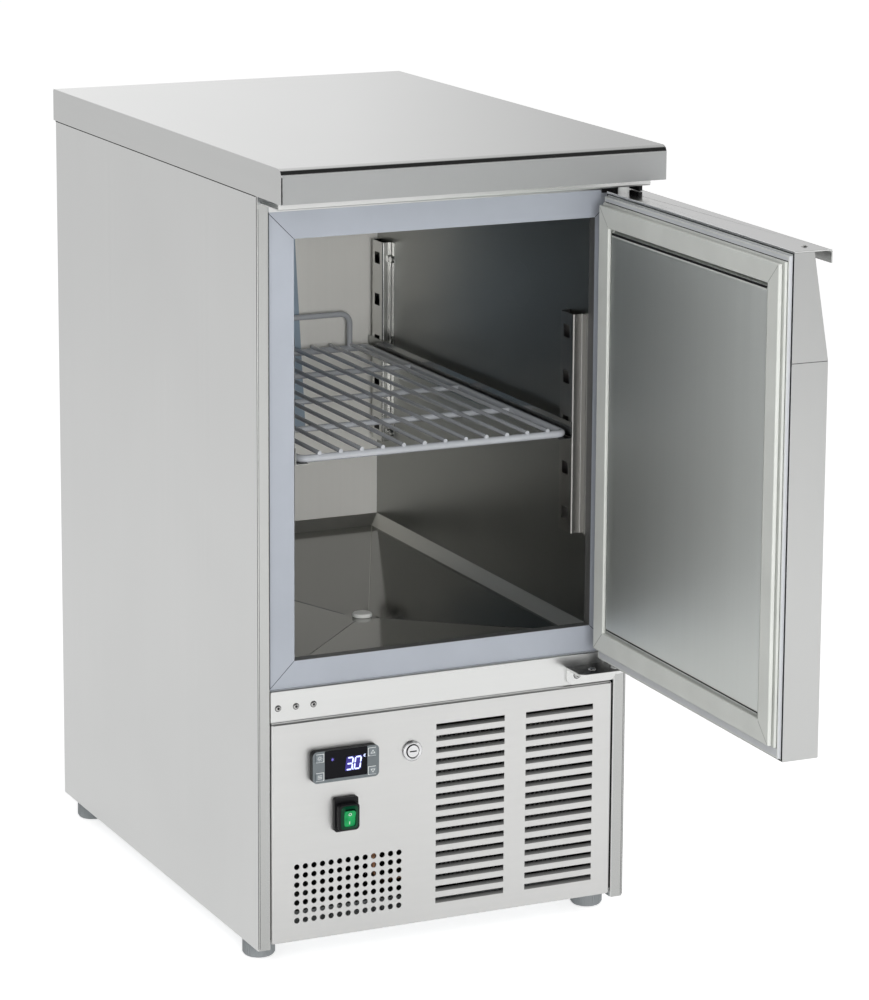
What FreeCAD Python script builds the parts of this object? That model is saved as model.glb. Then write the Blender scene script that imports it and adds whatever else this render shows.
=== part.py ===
import FreeCAD, Part
import math
import os

# Refrigerated prep table: a one-door stainless steel cabinet on levelling feet, with its door standing open.
# Sizes are millimetres. X runs to the right seen from the front, Y to the back and Z up.
# The origin is on the floor, under the middle of the worktop.
# Sizes that end in ASIDE, SPAN, LIFT, TALL or STEP belong to the drawn half width or inside height below,
# and stretch with the cabinet.

V = FreeCAD.Vector
AX_X, AX_Y, AX_Z = V(1, 0, 0), V(0, 1, 0), V(0, 0, 1)

# Worktop
TOP_WIDTH = 435.0
TOP_DEPTH = 670.0
TOTAL_HEIGHT = 860.0
DRAWN_HALF_WIDTH = 216.0
DRAWN_INSIDE_HEIGHT = 449.0
TOP_EDGE = 36.0
TOP_NOSE = 8.0
TOP_REAR_NOSE = 2.5
TOP_LIP = 14.0
CORE_FIT = 0.3

# Cabinet shell
SIDE_OVERHANG = 1.5
REAR_OVERHANG = 2.0
FRONT_OVERHANG = 69.0
FOOT_GAP = 20.0
SHEET = 1.0
BEND = 1.5
FLANGE = 14.5
FLANGE_LIP = 12.0
REAR_FLANGE = 20.0
REAR_LAP = 6.0
REAR_SLOT_SPAN = 120.0
REAR_SLOT_HEIGHT = 6.0
REAR_SLOT_PITCH = 18.0
REAR_SLOT_ROWS = 7
REAR_SLOT_LOW = 60.0

# Front frame, from the top down
TOP_RAIL = 9.0
TOP_RAIL_INSET = 4.0
TOP_RAIL_REACH = 47.0
TOP_RAIL_TAIL = 26.0
TOP_RAIL_CAP = 9.0
BREAKER_DROP = 19.0
BREAKER_WIDTH = 29.0
BREAKER_DEPTH = 12.0
BREAKER_RECESS = 4.0
MIDDLE_RAIL = 35.0
MACHINE_HEIGHT = 247.0
CATCH_LIP = 8.0
CATCH_SET = 25.0
EDGE_FIT = 0.3

# Cold compartment
SIDE_WALL = 42.0
REAR_WALL = 37.0
CEILING_STEP = 4.0
FLOOR_BAND = 12.0
FLOOR_FALL = 9.0
DRAIN_X = -5.0
DRAIN_BACK = 190.0
DRAIN_FLAT = 15.0
DRAIN_BORE = 9.0
DRAIN_WALL = 2.0
DRAIN_COLLAR = 4.0
DRAIN_COLLAR_HEIGHT = 2.0
PLUG_CAP = 11.0
PLUG_HEIGHT = 4.0
PLUG_STEM = 14.0
SOFT_FIT = 0.3

# Shelf supports and wire shelf
UPRIGHT_WEB = 30.0
UPRIGHT_STAND = 12.0
UPRIGHT_LIP = 9.0
UPRIGHT_LIFT = 97.0
UPRIGHT_TALL = 240.0
UPRIGHT_FRONT = 26.0
UPRIGHT_REAR = 25.0
SLOT_WIDTH = 14.0
SLOT_HEIGHT = 14.0
SLOT_STEP = 50.0
SLOT_COUNT = 5
SLOT_LIFT = 20.0
STUD_RADIUS = 4.0
STUD_HEIGHT = 3.0
RUNNER_SLOT_COUNT = 2
RUNNER_DROP = 15.0
RUNNER_HEIGHT = 18.0
RUNNER_LEDGE = 15.0
RUNNER_END_GAP = 4.0
HOOK_WIDTH = 8.0
HOOK_HEIGHT = 8.0
HOOK_REACH = 3.5
SHELF_SIDE_GAP = 2.0
SHELF_FRONT = 12.0
SHELF_REAR_GAP = 2.0
SHELF_ROD = 4.0
SHELF_WIRE = 2.3
SHELF_BRACE = 3.3
SHELF_CORNER = 9.0
SHELF_WIRES = 12
SHELF_EDGE_GAP = 21.2
SHELF_BRACES = 3
SHELF_SINK = 1.3
STOP_INSET = 26.0
STOP_ROD = 3.4
STOP_HEIGHT = 42.0
STOP_BEND = 12.0

# Door, given as it stands when closed
DOOR_SIDE_GAP = 1.5
DOOR_THICK = 40.0
DOOR_SEAL_SPACE = 14.0
DOOR_TOP_GAP = 8.5
DOOR_LAP = 5.0
DOOR_OPEN = 89.0
GRIP_SLOPE = 108.0
GRIP_TOP_THICK = 22.0
GRIP_SHEET = 1.5
GRIP_LIP = 14.0
GRIP_PROUD = 2.0
GRIP_BEND = 2.5
SEAM = 0.6
RETAINER_INSET = 3.0
RETAINER_WIDTH = 28.0
RETAINER_THICK = 4.0
GASKET_SIDE_INSET = 5.5
GASKET_TOP_INSET = 10.5
GASKET_BOTTOM_INSET = 14.0
GASKET_WIDTH = 26.0
GASKET_BASE = 3.0
GASKET_NECK = 2.0
GASKET_NECK_INSET = 6.0
GASKET_BULB_INSET = 2.0
GASKET_ROUND = 1.2
SEAL_GAP = 1.2

# Door hinge
PIVOT_INSET = 9.0
PIVOT_DEPTH = 25.0
PIN_RADIUS = 4.0
PIN_FIT = 0.05
PIN_GRIP = 10.0
PIN_HEAD = 2.0
BUSH_FLANGE = 6.0
BUSH_SLEEVE = 5.0
BUSH_DEPTH = 12.0
BUSH_GAP = 0.3
HINGE_PLATE = 3.0
HINGE_LEFT = 48.0
HINGE_RIGHT = 11.0
HINGE_FRONT = 11.0
HINGE_LEG = 17.0
HINGE_ROUND = 8.0

# Control panel
PANEL_SIDE_GAP = 1.1
PANEL_GAP = 1.0
PANEL_LIFT = 4.0
PANEL_SET = 1.0
PANEL_SHEET = 1.2
PANEL_DEPTH = 15.0
PANEL_ROUND = 3.0
PANEL_AXIS_SET = 7.0
PANEL_AXIS_LIFT = 10.0
PIVOT_SCREW = 3.0
PIVOT_SCREW_HEAD = 5.0
PIVOT_SCREW_GRIP = 6.0
HOLE_RADIUS = 3.1
HOLE_PITCH = 9.85
HOLE_COLUMNS = 13
HOLE_ROWS = 7
HOLES_ASIDE = -112.4
HOLES_Z = 53.0
LOUVRE_SPAN = 81.0
LOUVRE_HEIGHT = 6.4
LOUVRE_PITCH = 12.9
LOUVRE_ROWS = 16
LOUVRES_ASIDE = (30.3, 136.7)
LOUVRE_TOP = 26.0
FLAP_DEPTH = 1.2
FLAP_RISE = 3.4

# Controller
CONTROL_ASIDE = -118.7
CONTROL_DROP = 51.0
CONTROL_WIDTH = 76.0
CONTROL_HEIGHT = 34.5
CONTROL_PROUD = 8.5
CONTROL_ROUND = 5.0
CONTROL_BODY_WIDTH = 70.0
CONTROL_BODY_HEIGHT = 28.0
CONTROL_BODY_DEPTH = 52.0
WINDOW_WIDTH = 49.0
WINDOW_HEIGHT = 28.0
WINDOW_LIFT = 1.8
WINDOW_RECESS = 0.8
BUTTON_WIDTH = 8.5
BUTTON_HEIGHT = 8.0
BUTTON_X = 30.5
BUTTON_Z = 10.2
BUTTON_DEPTH = 3.0
BUTTON_PROUD = 0.9
BUTTON_TRAVEL = 0.6

# Lock
LOCK_ASIDE = -38.6
LOCK_DROP = 48.5
LOCK_FACE = 11.0
LOCK_FACE_PROUD = 3.0
LOCK_BODY = 9.0
LOCK_BARREL = 6.5
KEY_WIDTH = 1.4
KEY_LENGTH = 8.0
KEY_DEPTH = 3.0
CAM_WIDTH = 12.0
CAM_THICK = 2.0
CAM_REACH = 44.0

# Rocker switch
SWITCH_ASIDE = -116.6
SWITCH_DROP = 106.9
SWITCH_WIDTH = 27.4
SWITCH_HEIGHT = 37.2
SWITCH_PROUD = 5.0
SWITCH_ROUND = 3.0
COLLAR_WIDTH = 24.4
COLLAR_HEIGHT = 29.5
COLLAR_PROUD = 13.0
COLLAR_DROP = 1.4
COLLAR_ROUND = 4.5
COLLAR_EDGE = 2.0
ROCKER_WIDTH = 13.0
ROCKER_HEIGHT = 18.0
ROCKER_CORNER = 3.5
ROCKER_PROUD = 1.5
ROCKER_ANGLE = 8.0
ROCKER_ROOM = 1.6
SWITCH_BODY_DEPTH = 24.0

# Base and feet
TRAY_SHEET = 1.2
TRAY_HEIGHT = 30.0
TRAY_FIT = 0.2
TRAY_FRONT = 22.0
FOOT_RADIUS = 17.5
FOOT_INSET = 20.0
FOOT_FRONT = 47.0
FOOT_REAR = 42.0
FOOT_ROUND = 3.0
FOOT_RIBS = 36
FOOT_RIB = 0.7
FOOT_STUD = 5.0
FOOT_STUD_LENGTH = 34.0
FOOT_TOP_GAP = 0.3
NUT_RADIUS = 9.0
NUT_HEIGHT = 16.0

# Refrigeration
CONDENSER_WIDTH = 168.0
CONDENSER_HEIGHT = 196.0
CONDENSER_DEPTH = 40.0
CONDENSER_SET = 30.0
CONDENSER_PLATE = 2.0
CONDENSER_LIFT = 6.0
FIN_PITCH = 5.6
FIN_THICK = 2.0
FIN_DEPTH = 5.0
FAN_RADIUS = 78.0
FAN_HUB = 20.0
FAN_DEPTH = 22.0
FAN_GAP = 8.0
FAN_BLADES = 5
FAN_PITCH = 28.0
BLADE_THICK = 1.6
SHAFT_RADIUS = 4.0
SHAFT_FIT = 0.05
MOTOR_RADIUS = 34.0
MOTOR_LENGTH = 50.0
MOTOR_GAP = 5.0
MOTOR_FOOT = 60.0
MOTOR_STAND = 3.0
SHAFT_SEAT = 20.0
COMPRESSOR_RADIUS = 70.0
COMPRESSOR_HEIGHT = 162.0
COMPRESSOR_ASIDE = 95.0
COMPRESSOR_BACK = 291.0
COMPRESSOR_FOOT = 10.0
COMPRESSOR_PLATE = 3.0
COMPRESSOR_DOME = 56.0
COMPRESSOR_HEEL = 17.0
COMPRESSOR_SOLE = 56.0
COMPRESSOR_LEG = 8.0
COMPRESSOR_LEG_INSET = 11.0
TERMINAL_WIDTH = 42.0
TERMINAL_REACH = 21.0
TERMINAL_HEIGHT = 50.0
DISCHARGE_LIFT = 97.0
SUCTION_LIFT = 81.0
PIPE_RADIUS = 4.0
PIPE_BEND = 14.0
DRIER_RADIUS = 11.0
DRIER_LENGTH = 80.0
DRIER_LIFT = 92.0
DRIER_ASIDE = 60.0
LINE_ASIDE = 28.0
LINE_HIGH = 176.0
LINE_LOW = 39.0
BASIN_WIDTH = 100.0
BASIN_DEPTH = 76.0
BASIN_HEIGHT = 46.0
BASIN_WALL = 2.0
BASIN_DIP = 12.0
BASIN_ASIDE = 77.0
COIL_SPAN = 256.0
COIL_RUNS = 5
COIL_STEP = 60.0
COIL_LIFT = 109.0
COIL_ROOM = 0.3
HOOD_SPAN = 150.0
HOOD_TALL = 150.0
HOOD_DEPTH = 44.0
HOOD_ASIDE = -50.0
HOOD_TOP = 22.0
HOOD_WALL = 2.0
HOOD_BACK_ASIDE = 78.0
HOOD_BACK_DRAFT = 19.3
HOOD_BACK_TALL = 330.0
HOOD_BACK_THICK = 5.0
HOOD_BACK_EDGE = 12.0
INNER_FAN_INSET = 23.0
INNER_FAN_HUB = 16.0
INNER_FAN_DEPTH = 14.0
INNER_FAN_GAP = 4.0
INNER_MOTOR_RADIUS = 20.0
GUARD_RING = 2.0
GUARD_RINGS = 3
GUARD_SPOKES = 4
HOOD_SLOTS = 6
HOOD_SLOT_WIDTH = 14.0
HOOD_SLOT_DEPTH = 20.0
GLAND_ASIDE = -150.0
GLAND_Z = 80.0
GLAND_RADIUS = 8.0
GLAND_NUT = 12.0
GLAND_PROUD = 8.0
GLAND_BORE = 4.0

# Places worked out from the sizes
HALF_TOP = TOP_WIDTH / 2
Y_TOP_FRONT = -TOP_DEPTH / 2
Y_TOP_REAR = TOP_DEPTH / 2
X_BODY = HALF_TOP - SIDE_OVERHANG
SPREAD = X_BODY / DRAWN_HALF_WIDTH
REAR_SLOT_WIDTH = REAR_SLOT_SPAN * SPREAD
X_OPEN = X_BODY - FLANGE
Y_FRONT = Y_TOP_FRONT + FRONT_OVERHANG
Y_REAR = Y_TOP_REAR - REAR_OVERHANG
Y_BACK_SHEET = Y_REAR - 2 * SHEET
Z_BASE = FOOT_GAP
Z_BODY_TOP = TOTAL_HEIGHT - TOP_EDGE
Z_MACHINE_TOP = Z_BASE + MACHINE_HEIGHT
Z_BREAKER_LOW = Z_MACHINE_TOP + MIDDLE_RAIL
Z_BREAKER_TOP = Z_BODY_TOP - BREAKER_DROP
Y_BREAKER = Y_FRONT + BREAKER_RECESS
Y_LINER_FRONT = Y_BREAKER + BREAKER_DEPTH
X_MOUTH = X_OPEN - BREAKER_WIDTH
Z_MOUTH_LOW = Z_BREAKER_LOW + BREAKER_WIDTH
Z_MOUTH_TOP = Z_BREAKER_TOP - BREAKER_WIDTH
X_LINER = X_BODY - SIDE_WALL
X_INSIDE = X_LINER - SHEET
Y_LINER_REAR = Y_REAR - REAR_WALL
Y_INSIDE_REAR = Y_LINER_REAR - SHEET
Z_CEILING = Z_MOUTH_TOP + CEILING_STEP
Z_RIM = Z_MOUTH_LOW
RISE = (Z_CEILING - Z_RIM) / DRAWN_INSIDE_HEIGHT
Z_DRAIN = Z_RIM - FLOOR_BAND - FLOOR_FALL
Z_RAIL_LOW = Z_BODY_TOP - TOP_RAIL
Y_RAIL_FRONT = Y_FRONT - TOP_RAIL_REACH
X_RAIL = X_BODY - SHEET - TOP_RAIL_INSET
DRAIN_Y = Y_LINER_FRONT + DRAIN_BACK
Y_HOOD_BACK = Y_INSIDE_REAR - HOOD_BACK_THICK

X_WEB = X_INSIDE - UPRIGHT_STAND
Y_UPRIGHTS = (Y_LINER_FRONT + UPRIGHT_FRONT + SHEET, Y_INSIDE_REAR - UPRIGHT_REAR - SHEET)
UPRIGHT_LOW = Z_RIM + UPRIGHT_LIFT * RISE
UPRIGHT_HEIGHT = UPRIGHT_TALL * RISE
Z_SLOTS = [UPRIGHT_LOW + (SLOT_LIFT + SLOT_STEP * k) * RISE for k in range(SLOT_COUNT)]
Z_HOOK = Z_SLOTS[RUNNER_SLOT_COUNT]
Z_LEDGE = Z_HOOK - RUNNER_DROP
X_RUNNER = X_WEB - SHEET
Z_SHELF = Z_LEDGE + SHEET + SOFT_FIT + SHELF_ROD
Y_SHELF_FRONT = Y_LINER_FRONT + SHELF_FRONT
Y_SHELF_REAR = Y_HOOD_BACK - SHELF_REAR_GAP
X_SHELF = X_RUNNER - SHELF_SIDE_GAP
SHELF_WIRE_PITCH = 2 * (X_SHELF - SHELF_ROD - SHELF_EDGE_GAP) / (SHELF_WIRES - 1)
STOP_HALF = X_SHELF - STOP_INSET

Y_DOOR_IN = Y_BREAKER - DOOR_SEAL_SPACE
Y_DOOR_OUT = Y_DOOR_IN - DOOR_THICK
Z_DOOR_TOP = Z_RAIL_LOW - DOOR_TOP_GAP
Z_DOOR_LOW = Z_BREAKER_LOW - DOOR_LAP
Z_SKIN_TOP = Z_DOOR_TOP - GRIP_SHEET
Z_SEAM = Z_SKIN_TOP - GRIP_SLOPE
X_DOOR = X_OPEN - DOOR_SIDE_GAP
PIVOT_X = X_DOOR - PIVOT_INSET
PIVOT_Y = Y_DOOR_OUT + PIVOT_DEPTH
Z_HINGE_TOP = Z_DOOR_LOW - DOOR_TOP_GAP

Y_PANEL = Y_FRONT + PANEL_SET
X_PANEL = X_OPEN - PANEL_SIDE_GAP
Z_PANEL_LOW = Z_BASE + PANEL_LIFT
Z_PANEL_TOP = Z_MACHINE_TOP - PANEL_GAP
Y_PANEL_AXIS = Y_FRONT + PANEL_AXIS_SET
Z_PANEL_AXIS = Z_BASE + PANEL_AXIS_LIFT
CONTROL_X = CONTROL_ASIDE * SPREAD
CONTROL_Z = Z_PANEL_TOP - CONTROL_DROP
LOCK_X = LOCK_ASIDE * SPREAD
LOCK_Z = Z_PANEL_TOP - LOCK_DROP
SWITCH_X = SWITCH_ASIDE * SPREAD
SWITCH_Z = Z_PANEL_TOP - SWITCH_DROP
HOLES_X = HOLES_ASIDE * SPREAD
LOUVRE_WIDTH = LOUVRE_SPAN * SPREAD
LOUVRE_COLUMNS = [x * SPREAD for x in LOUVRES_ASIDE]
ROCKER_Y = Y_PANEL - COLLAR_PROUD + ROCKER_WIDTH / 2
ROCKER_Z = SWITCH_Z - COLLAR_DROP
Y_CAM = Y_FRONT + CATCH_SET + SHEET / 2 + SOFT_FIT

Z_TRAY = Z_BASE + TRAY_SHEET
Y_TRAY_FRONT = Y_FRONT + TRAY_FRONT
FOOT_X = X_BODY - FOOT_INSET
FOOT_YS = (Y_FRONT + FOOT_FRONT, Y_REAR - FOOT_REAR)

FAN_X = sum(LOUVRE_COLUMNS) / len(LOUVRE_COLUMNS)
Y_CONDENSER = Y_PANEL + CONDENSER_SET
Y_CONDENSER_BACK = Y_CONDENSER + CONDENSER_DEPTH
FAN_Z = Z_TRAY + CONDENSER_LIFT + CONDENSER_HEIGHT / 2
Y_FAN = Y_CONDENSER_BACK + FAN_GAP
Y_MOTOR = Y_FAN + FAN_DEPTH + MOTOR_GAP
COMPRESSOR_X = COMPRESSOR_ASIDE * SPREAD
COMPRESSOR_Y = Y_REAR - COMPRESSOR_BACK
GLAND_X = GLAND_ASIDE * SPREAD
COIL_HALF = COIL_SPAN / 2 * SPREAD
COIL_Y = Y_LINER_REAR + PIPE_RADIUS + COIL_ROOM
COIL_LOW = Z_RIM + COIL_LIFT * RISE
COIL_PITCH = COIL_STEP * RISE
COIL_TOP = COIL_LOW + COIL_PITCH * (COIL_RUNS - 1)
HOOD_X = HOOD_ASIDE * SPREAD
HOOD_WIDTH = HOOD_SPAN * SPREAD
HOOD_HEIGHT = HOOD_TALL * RISE
HOOD_BACK_RIGHT = HOOD_BACK_ASIDE * SPREAD
HOOD_BACK_HEIGHT = HOOD_BACK_TALL * RISE
HOOD_Z = Z_CEILING - HOOD_TOP - HOOD_HEIGHT / 2
INNER_FAN_RADIUS = min(HOOD_WIDTH, HOOD_HEIGHT) / 2 - INNER_FAN_INSET
Y_HOOD = Y_INSIDE_REAR - HOOD_DEPTH
Y_INNER_FAN = Y_HOOD + HOOD_WALL + INNER_FAN_GAP
Y_INNER_MOTOR = Y_INNER_FAN + INNER_FAN_DEPTH + INNER_FAN_GAP
RISER_X = COIL_HALF + PIPE_BEND + 2 * PIPE_RADIUS


def box(x0, x1, y0, y1, z0, z1):
    """A block between two corners."""
    return Part.makeBox(x1 - x0, y1 - y0, z1 - z0, V(x0, y0, z0))


def rod(radius, start, end):
    """A round bar from one point to another."""
    along = end - start
    return Part.makeCylinder(radius, along.Length, start, along)


def fused(shapes):
    """Several overlapping shapes made into one solid."""
    return shapes[0].multiFuse(shapes[1:]).removeSplitter()


def mirrored(shape):
    """The same piece on the other side of the cabinet."""
    return shape.mirror(V(0, 0, 0), AX_X)


def prism(points, run):
    """A flat outline pushed along a vector."""
    return Part.Face(Part.makePolygon(points + points[:1])).extrude(run)


def rounded_plate(cx, cz, width, height, radius, y0, y1):
    """An upright plate with rounded corners, seen from the front."""
    plate = box(cx - width / 2, cx + width / 2, y0, y1, cz - height / 2, cz + height / 2)
    corners = [e for e in plate.Edges if abs(e.tangentAt(e.FirstParameter).y) > 0.9]
    return plate.makeFillet(radius, corners)


def bent_sheet(points, thickness, radius, place, run):
    """A folded sheet: points run along its section, place puts them in space, run is its length."""
    pts = [V(u, v, 0) for u, v in points]
    units = [(b - a).normalize() for a, b in zip(pts, pts[1:])]
    edges, tips = [], []
    for offset in (thickness / 2, -thickness / 2):
        here = pts[0] + AX_Z.cross(units[0]) * offset
        tips.append(here)
        for corner, u, w in zip(pts[1:], units, units[1:]):
            left = 1 if u.cross(w).z > 0 else -1
            start = corner - u * (radius * math.tan(u.getAngle(w) / 2))
            centre = start + AX_Z.cross(u) * (left * radius)
            reach = radius - left * offset
            a = centre - AX_Z.cross(u) * (left * reach)
            b = centre - AX_Z.cross(w) * (left * reach)
            middle = centre + (corner - centre).normalize() * reach
            edges.append(Part.LineSegment(place(here), place(a)).toShape())
            edges.append(Part.Arc(place(a), place(middle), place(b)).toShape())
            here = b
        end = pts[-1] + AX_Z.cross(units[-1]) * offset
        edges.append(Part.LineSegment(place(here), place(end)).toShape())
        tips.append(end)
    edges.append(Part.LineSegment(place(tips[0]), place(tips[2])).toShape())
    edges.append(Part.LineSegment(place(tips[1]), place(tips[3])).toShape())
    return Part.Face(Part.Wire(Part.__sortEdges__(edges))).extrude(run)


def tube_path(points, bend):
    """A line through points, with an arc of one radius at each corner."""
    edges, here = [], points[0]
    for before, corner, after in zip(points, points[1:], points[2:]):
        u, w = (corner - before).normalize(), (after - corner).normalize()
        back = bend * math.tan(u.getAngle(w) / 2)
        start, end = corner - u * back, corner + w * back
        inward = (w - u).normalize()
        middle = corner + inward * (bend / math.cos(u.getAngle(w) / 2) - bend)
        edges.append(Part.LineSegment(here, start).toShape())
        edges.append(Part.Arc(start, middle, end).toShape())
        here = end
    edges.append(Part.LineSegment(here, points[-1]).toShape())
    return Part.Wire(edges)


def tube(points, radius, bend):
    """A round bar bent along a path."""
    ring = Part.Wire(Part.makeCircle(radius, points[0], points[1] - points[0]))
    return tube_path(points, bend).makePipeShell([ring], True, False)


# Worktop and cabinet shell

def worktop_section(inset, z_low):
    """Side outline of the worktop with its rounded front edge, drawn in by inset."""
    front, rear, top = Y_TOP_FRONT + inset, Y_TOP_REAR - inset, TOTAL_HEIGHT - inset
    nose, back = TOP_NOSE - inset, TOP_REAR_NOSE - inset
    x = -HALF_TOP + inset
    s = math.sqrt(0.5)
    a, b = V(x, front, top - nose), V(x, front + nose, top)
    c, d = V(x, rear - back, top), V(x, rear, top - back)
    low_rear, low_front = V(x, rear, z_low), V(x, front, z_low)
    edges = [Part.LineSegment(low_front, a).toShape(),
             Part.Arc(a, V(x, front + nose * (1 - s), top - nose * (1 - s)), b).toShape(),
             Part.LineSegment(b, c).toShape(),
             Part.Arc(c, V(x, rear - back * (1 - s), top - back * (1 - s)), d).toShape(),
             Part.LineSegment(d, low_rear).toShape(),
             Part.LineSegment(low_rear, low_front).toShape()]
    return Part.Face(Part.Wire(edges)).extrude(AX_X * (TOP_WIDTH - 2 * inset))


def worktop_shell():
    """Folded stainless top with a turned-in lip all round its underside."""
    shell = worktop_section(0, Z_BODY_TOP).cut(worktop_section(SHEET, Z_BODY_TOP - SHEET))
    w, f, r = HALF_TOP - SHEET / 2, Y_TOP_FRONT + SHEET / 2, Y_TOP_REAR - SHEET / 2
    lip = box(-w, w, f, r, Z_BODY_TOP, Z_BODY_TOP + SHEET)
    lip = lip.cut(box(TOP_LIP - w, w - TOP_LIP, f + TOP_LIP, r - TOP_LIP,
                      Z_BODY_TOP - SHEET, Z_BODY_TOP + 2 * SHEET))
    return fused([shell, lip])


def worktop_core():
    """Board that stiffens the worktop from inside."""
    return worktop_section(SHEET + CORE_FIT, Z_BODY_TOP + SHEET + CORE_FIT)


def left_side_panel():
    """Side sheet with the front flange, its return lip and the rear flange folded on it."""
    half = SHEET / 2
    points = [(-X_OPEN - half, Y_FRONT + FLANGE_LIP), (-X_OPEN - half, Y_FRONT + half),
              (-X_BODY + half, Y_FRONT + half), (-X_BODY + half, Y_REAR - half),
              (-X_BODY + REAR_FLANGE, Y_REAR - half)]
    panel = bent_sheet(points, SHEET, BEND, lambda p: V(p.x, p.y, Z_BASE), AX_Z * (Z_BODY_TOP - Z_BASE))
    notch = box(-X_BODY + 2 * SHEET, -X_OPEN + SHEET, Y_FRONT - SHEET, Y_FRONT + 2 * FLANGE_LIP,
                Z_RAIL_LOW - EDGE_FIT, TOTAL_HEIGHT)
    pivot = rod(PIVOT_SCREW + PIN_FIT, V(-X_OPEN - FLANGE / 2, Y_PANEL_AXIS, Z_PANEL_AXIS),
                V(-X_OPEN + SHEET, Y_PANEL_AXIS, Z_PANEL_AXIS))
    return panel.cut(Part.makeCompound([notch, pivot]))


def rear_panel():
    """Back sheet with air slots low down and the hole for the cable gland."""
    half = X_BODY - SHEET - REAR_LAP
    sheet = box(-half, half, Y_BACK_SHEET, Y_BACK_SHEET + SHEET, Z_BASE, Z_BODY_TOP)
    gland = V(GLAND_X, Y_BACK_SHEET, GLAND_Z)
    cuts = [rod(GLAND_RADIUS + PIN_FIT, gland - AX_Y * SHEET, gland + AX_Y * (2 * SHEET))]
    for column in (-1, 1):
        middle = column * (REAR_SLOT_WIDTH / 2 + REAR_SLOT_PITCH / 2)
        for row in range(REAR_SLOT_ROWS):
            z = REAR_SLOT_LOW + row * REAR_SLOT_PITCH
            cuts.append(box(middle - REAR_SLOT_WIDTH / 2, middle + REAR_SLOT_WIDTH / 2,
                            Y_BACK_SHEET - SHEET, Y_REAR, z, z + REAR_SLOT_HEIGHT))
    return sheet.cut(Part.makeCompound(cuts))


def top_rail():
    """Folded front rail under the worktop; its underside carries the upper hinge pin."""
    half = SHEET / 2
    points = [(Y_FRONT + TOP_RAIL_TAIL, Z_BODY_TOP - half), (Y_RAIL_FRONT + half, Z_BODY_TOP - half),
              (Y_RAIL_FRONT + half, Z_RAIL_LOW + half), (Y_BREAKER + half, Z_RAIL_LOW + half),
              (Y_BREAKER + half, Z_BREAKER_TOP)]
    rail = bent_sheet(points, SHEET, BEND, lambda p: V(-X_RAIL, p.x, p.y), AX_X * (2 * X_RAIL))
    ends = [box(s * X_OPEN - EDGE_FIT if s > 0 else -X_BODY, X_BODY if s > 0 else EDGE_FIT - X_OPEN,
                Y_FRONT - SHEET, Y_LINER_FRONT, Z_BREAKER_TOP - SHEET, Z_RAIL_LOW) for s in (-1, 1)]
    hole = rod(PIN_RADIUS + PIN_FIT, V(PIVOT_X, PIVOT_Y, Z_RAIL_LOW - SHEET),
               V(PIVOT_X, PIVOT_Y, Z_RAIL_LOW + 2 * SHEET))
    x = X_RAIL - TOP_RAIL_CAP
    caps = [box(min(s * x, s * (x - SHEET)), max(s * x, s * (x - SHEET)), Y_RAIL_FRONT + half, Y_BREAKER,
                Z_RAIL_LOW + half, Z_BODY_TOP - half) for s in (-1, 1)]
    return fused([rail.cut(Part.makeCompound(ends + [hole]))] + caps)


def middle_rail():
    """Front rail between the compartment and the machine space, with the catch lip for the panel's lock."""
    half = SHEET / 2
    x = X_OPEN - EDGE_FIT
    points = [(Y_LINER_FRONT, Z_BREAKER_LOW - half), (Y_FRONT + half, Z_BREAKER_LOW - half),
              (Y_FRONT + half, Z_MACHINE_TOP + half), (Y_FRONT + CATCH_SET, Z_MACHINE_TOP + half),
              (Y_FRONT + CATCH_SET, Z_MACHINE_TOP - CATCH_LIP)]
    return bent_sheet(points, SHEET, BEND, lambda p: V(-x, p.x, p.y), AX_X * (2 * x))


def breaker(name):
    """One mitred bar of the plastic frame round the door opening."""
    def corners(x, low, top):
        return [(-x, low), (x, low), (x, top), (-x, top)]
    out = corners(X_OPEN, Z_BREAKER_LOW, Z_BREAKER_TOP)
    mouth = corners(X_MOUTH, Z_MOUTH_LOW, Z_MOUTH_TOP)
    k = ("bottom", "right", "top", "left").index(name)
    n = (k + 1) % 4
    points = [V(x, Y_BREAKER, z) for x, z in (out[k], out[n], mouth[n], mouth[k])]
    return prism(points, AX_Y * BREAKER_DEPTH)


# Cold compartment

def basin(drop):
    """The space above the compartment floor, which falls from a sloped band to the drain; drop lowers it."""
    rim, low, flat = Z_RIM - drop, Z_RIM - FLOOR_BAND - drop, Z_DRAIN - drop
    y0, y1 = Y_LINER_FRONT, Y_INSIDE_REAR

    def ring(x0, x1, ya, yb, z):
        return [V(x0, ya, z), V(x1, ya, z), V(x1, yb, z), V(x0, yb, z)]

    b, d = FLOOR_BAND, DRAIN_FLAT
    levels = [ring(-X_INSIDE, X_INSIDE, y0, y1, Z_CEILING - drop),
              ring(-X_INSIDE, X_INSIDE, y0, y1, rim),
              ring(-X_INSIDE + b, X_INSIDE - b, y0 + b, y1 - b, low),
              ring(DRAIN_X - d, DRAIN_X + d, DRAIN_Y - d, DRAIN_Y + d, flat)]
    faces = [Part.Face(Part.makePolygon(r + r[:1])) for r in (levels[0], levels[-1])]
    for up, down in zip(levels, levels[1:]):
        for k in range(4):
            n = (k + 1) % 4
            faces.append(Part.Face(Part.makePolygon([up[k], up[n], down[n], down[k], up[k]])))
    return Part.Solid(Part.Shell(faces))


def liner_floor():
    """Pressed floor pan with a sloped band along the walls and a drain hole."""
    hole = rod(DRAIN_BORE, V(DRAIN_X, DRAIN_Y, Z_DRAIN - FLOOR_FALL), V(DRAIN_X, DRAIN_Y, Z_RIM))
    return basin(SHEET).cut(basin(0)).cut(hole)


def liner_left():
    """Left wall of the compartment."""
    return box(-X_LINER, -X_INSIDE, Y_LINER_FRONT, Y_LINER_REAR, Z_RIM - SHEET, Z_CEILING + SHEET)


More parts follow.
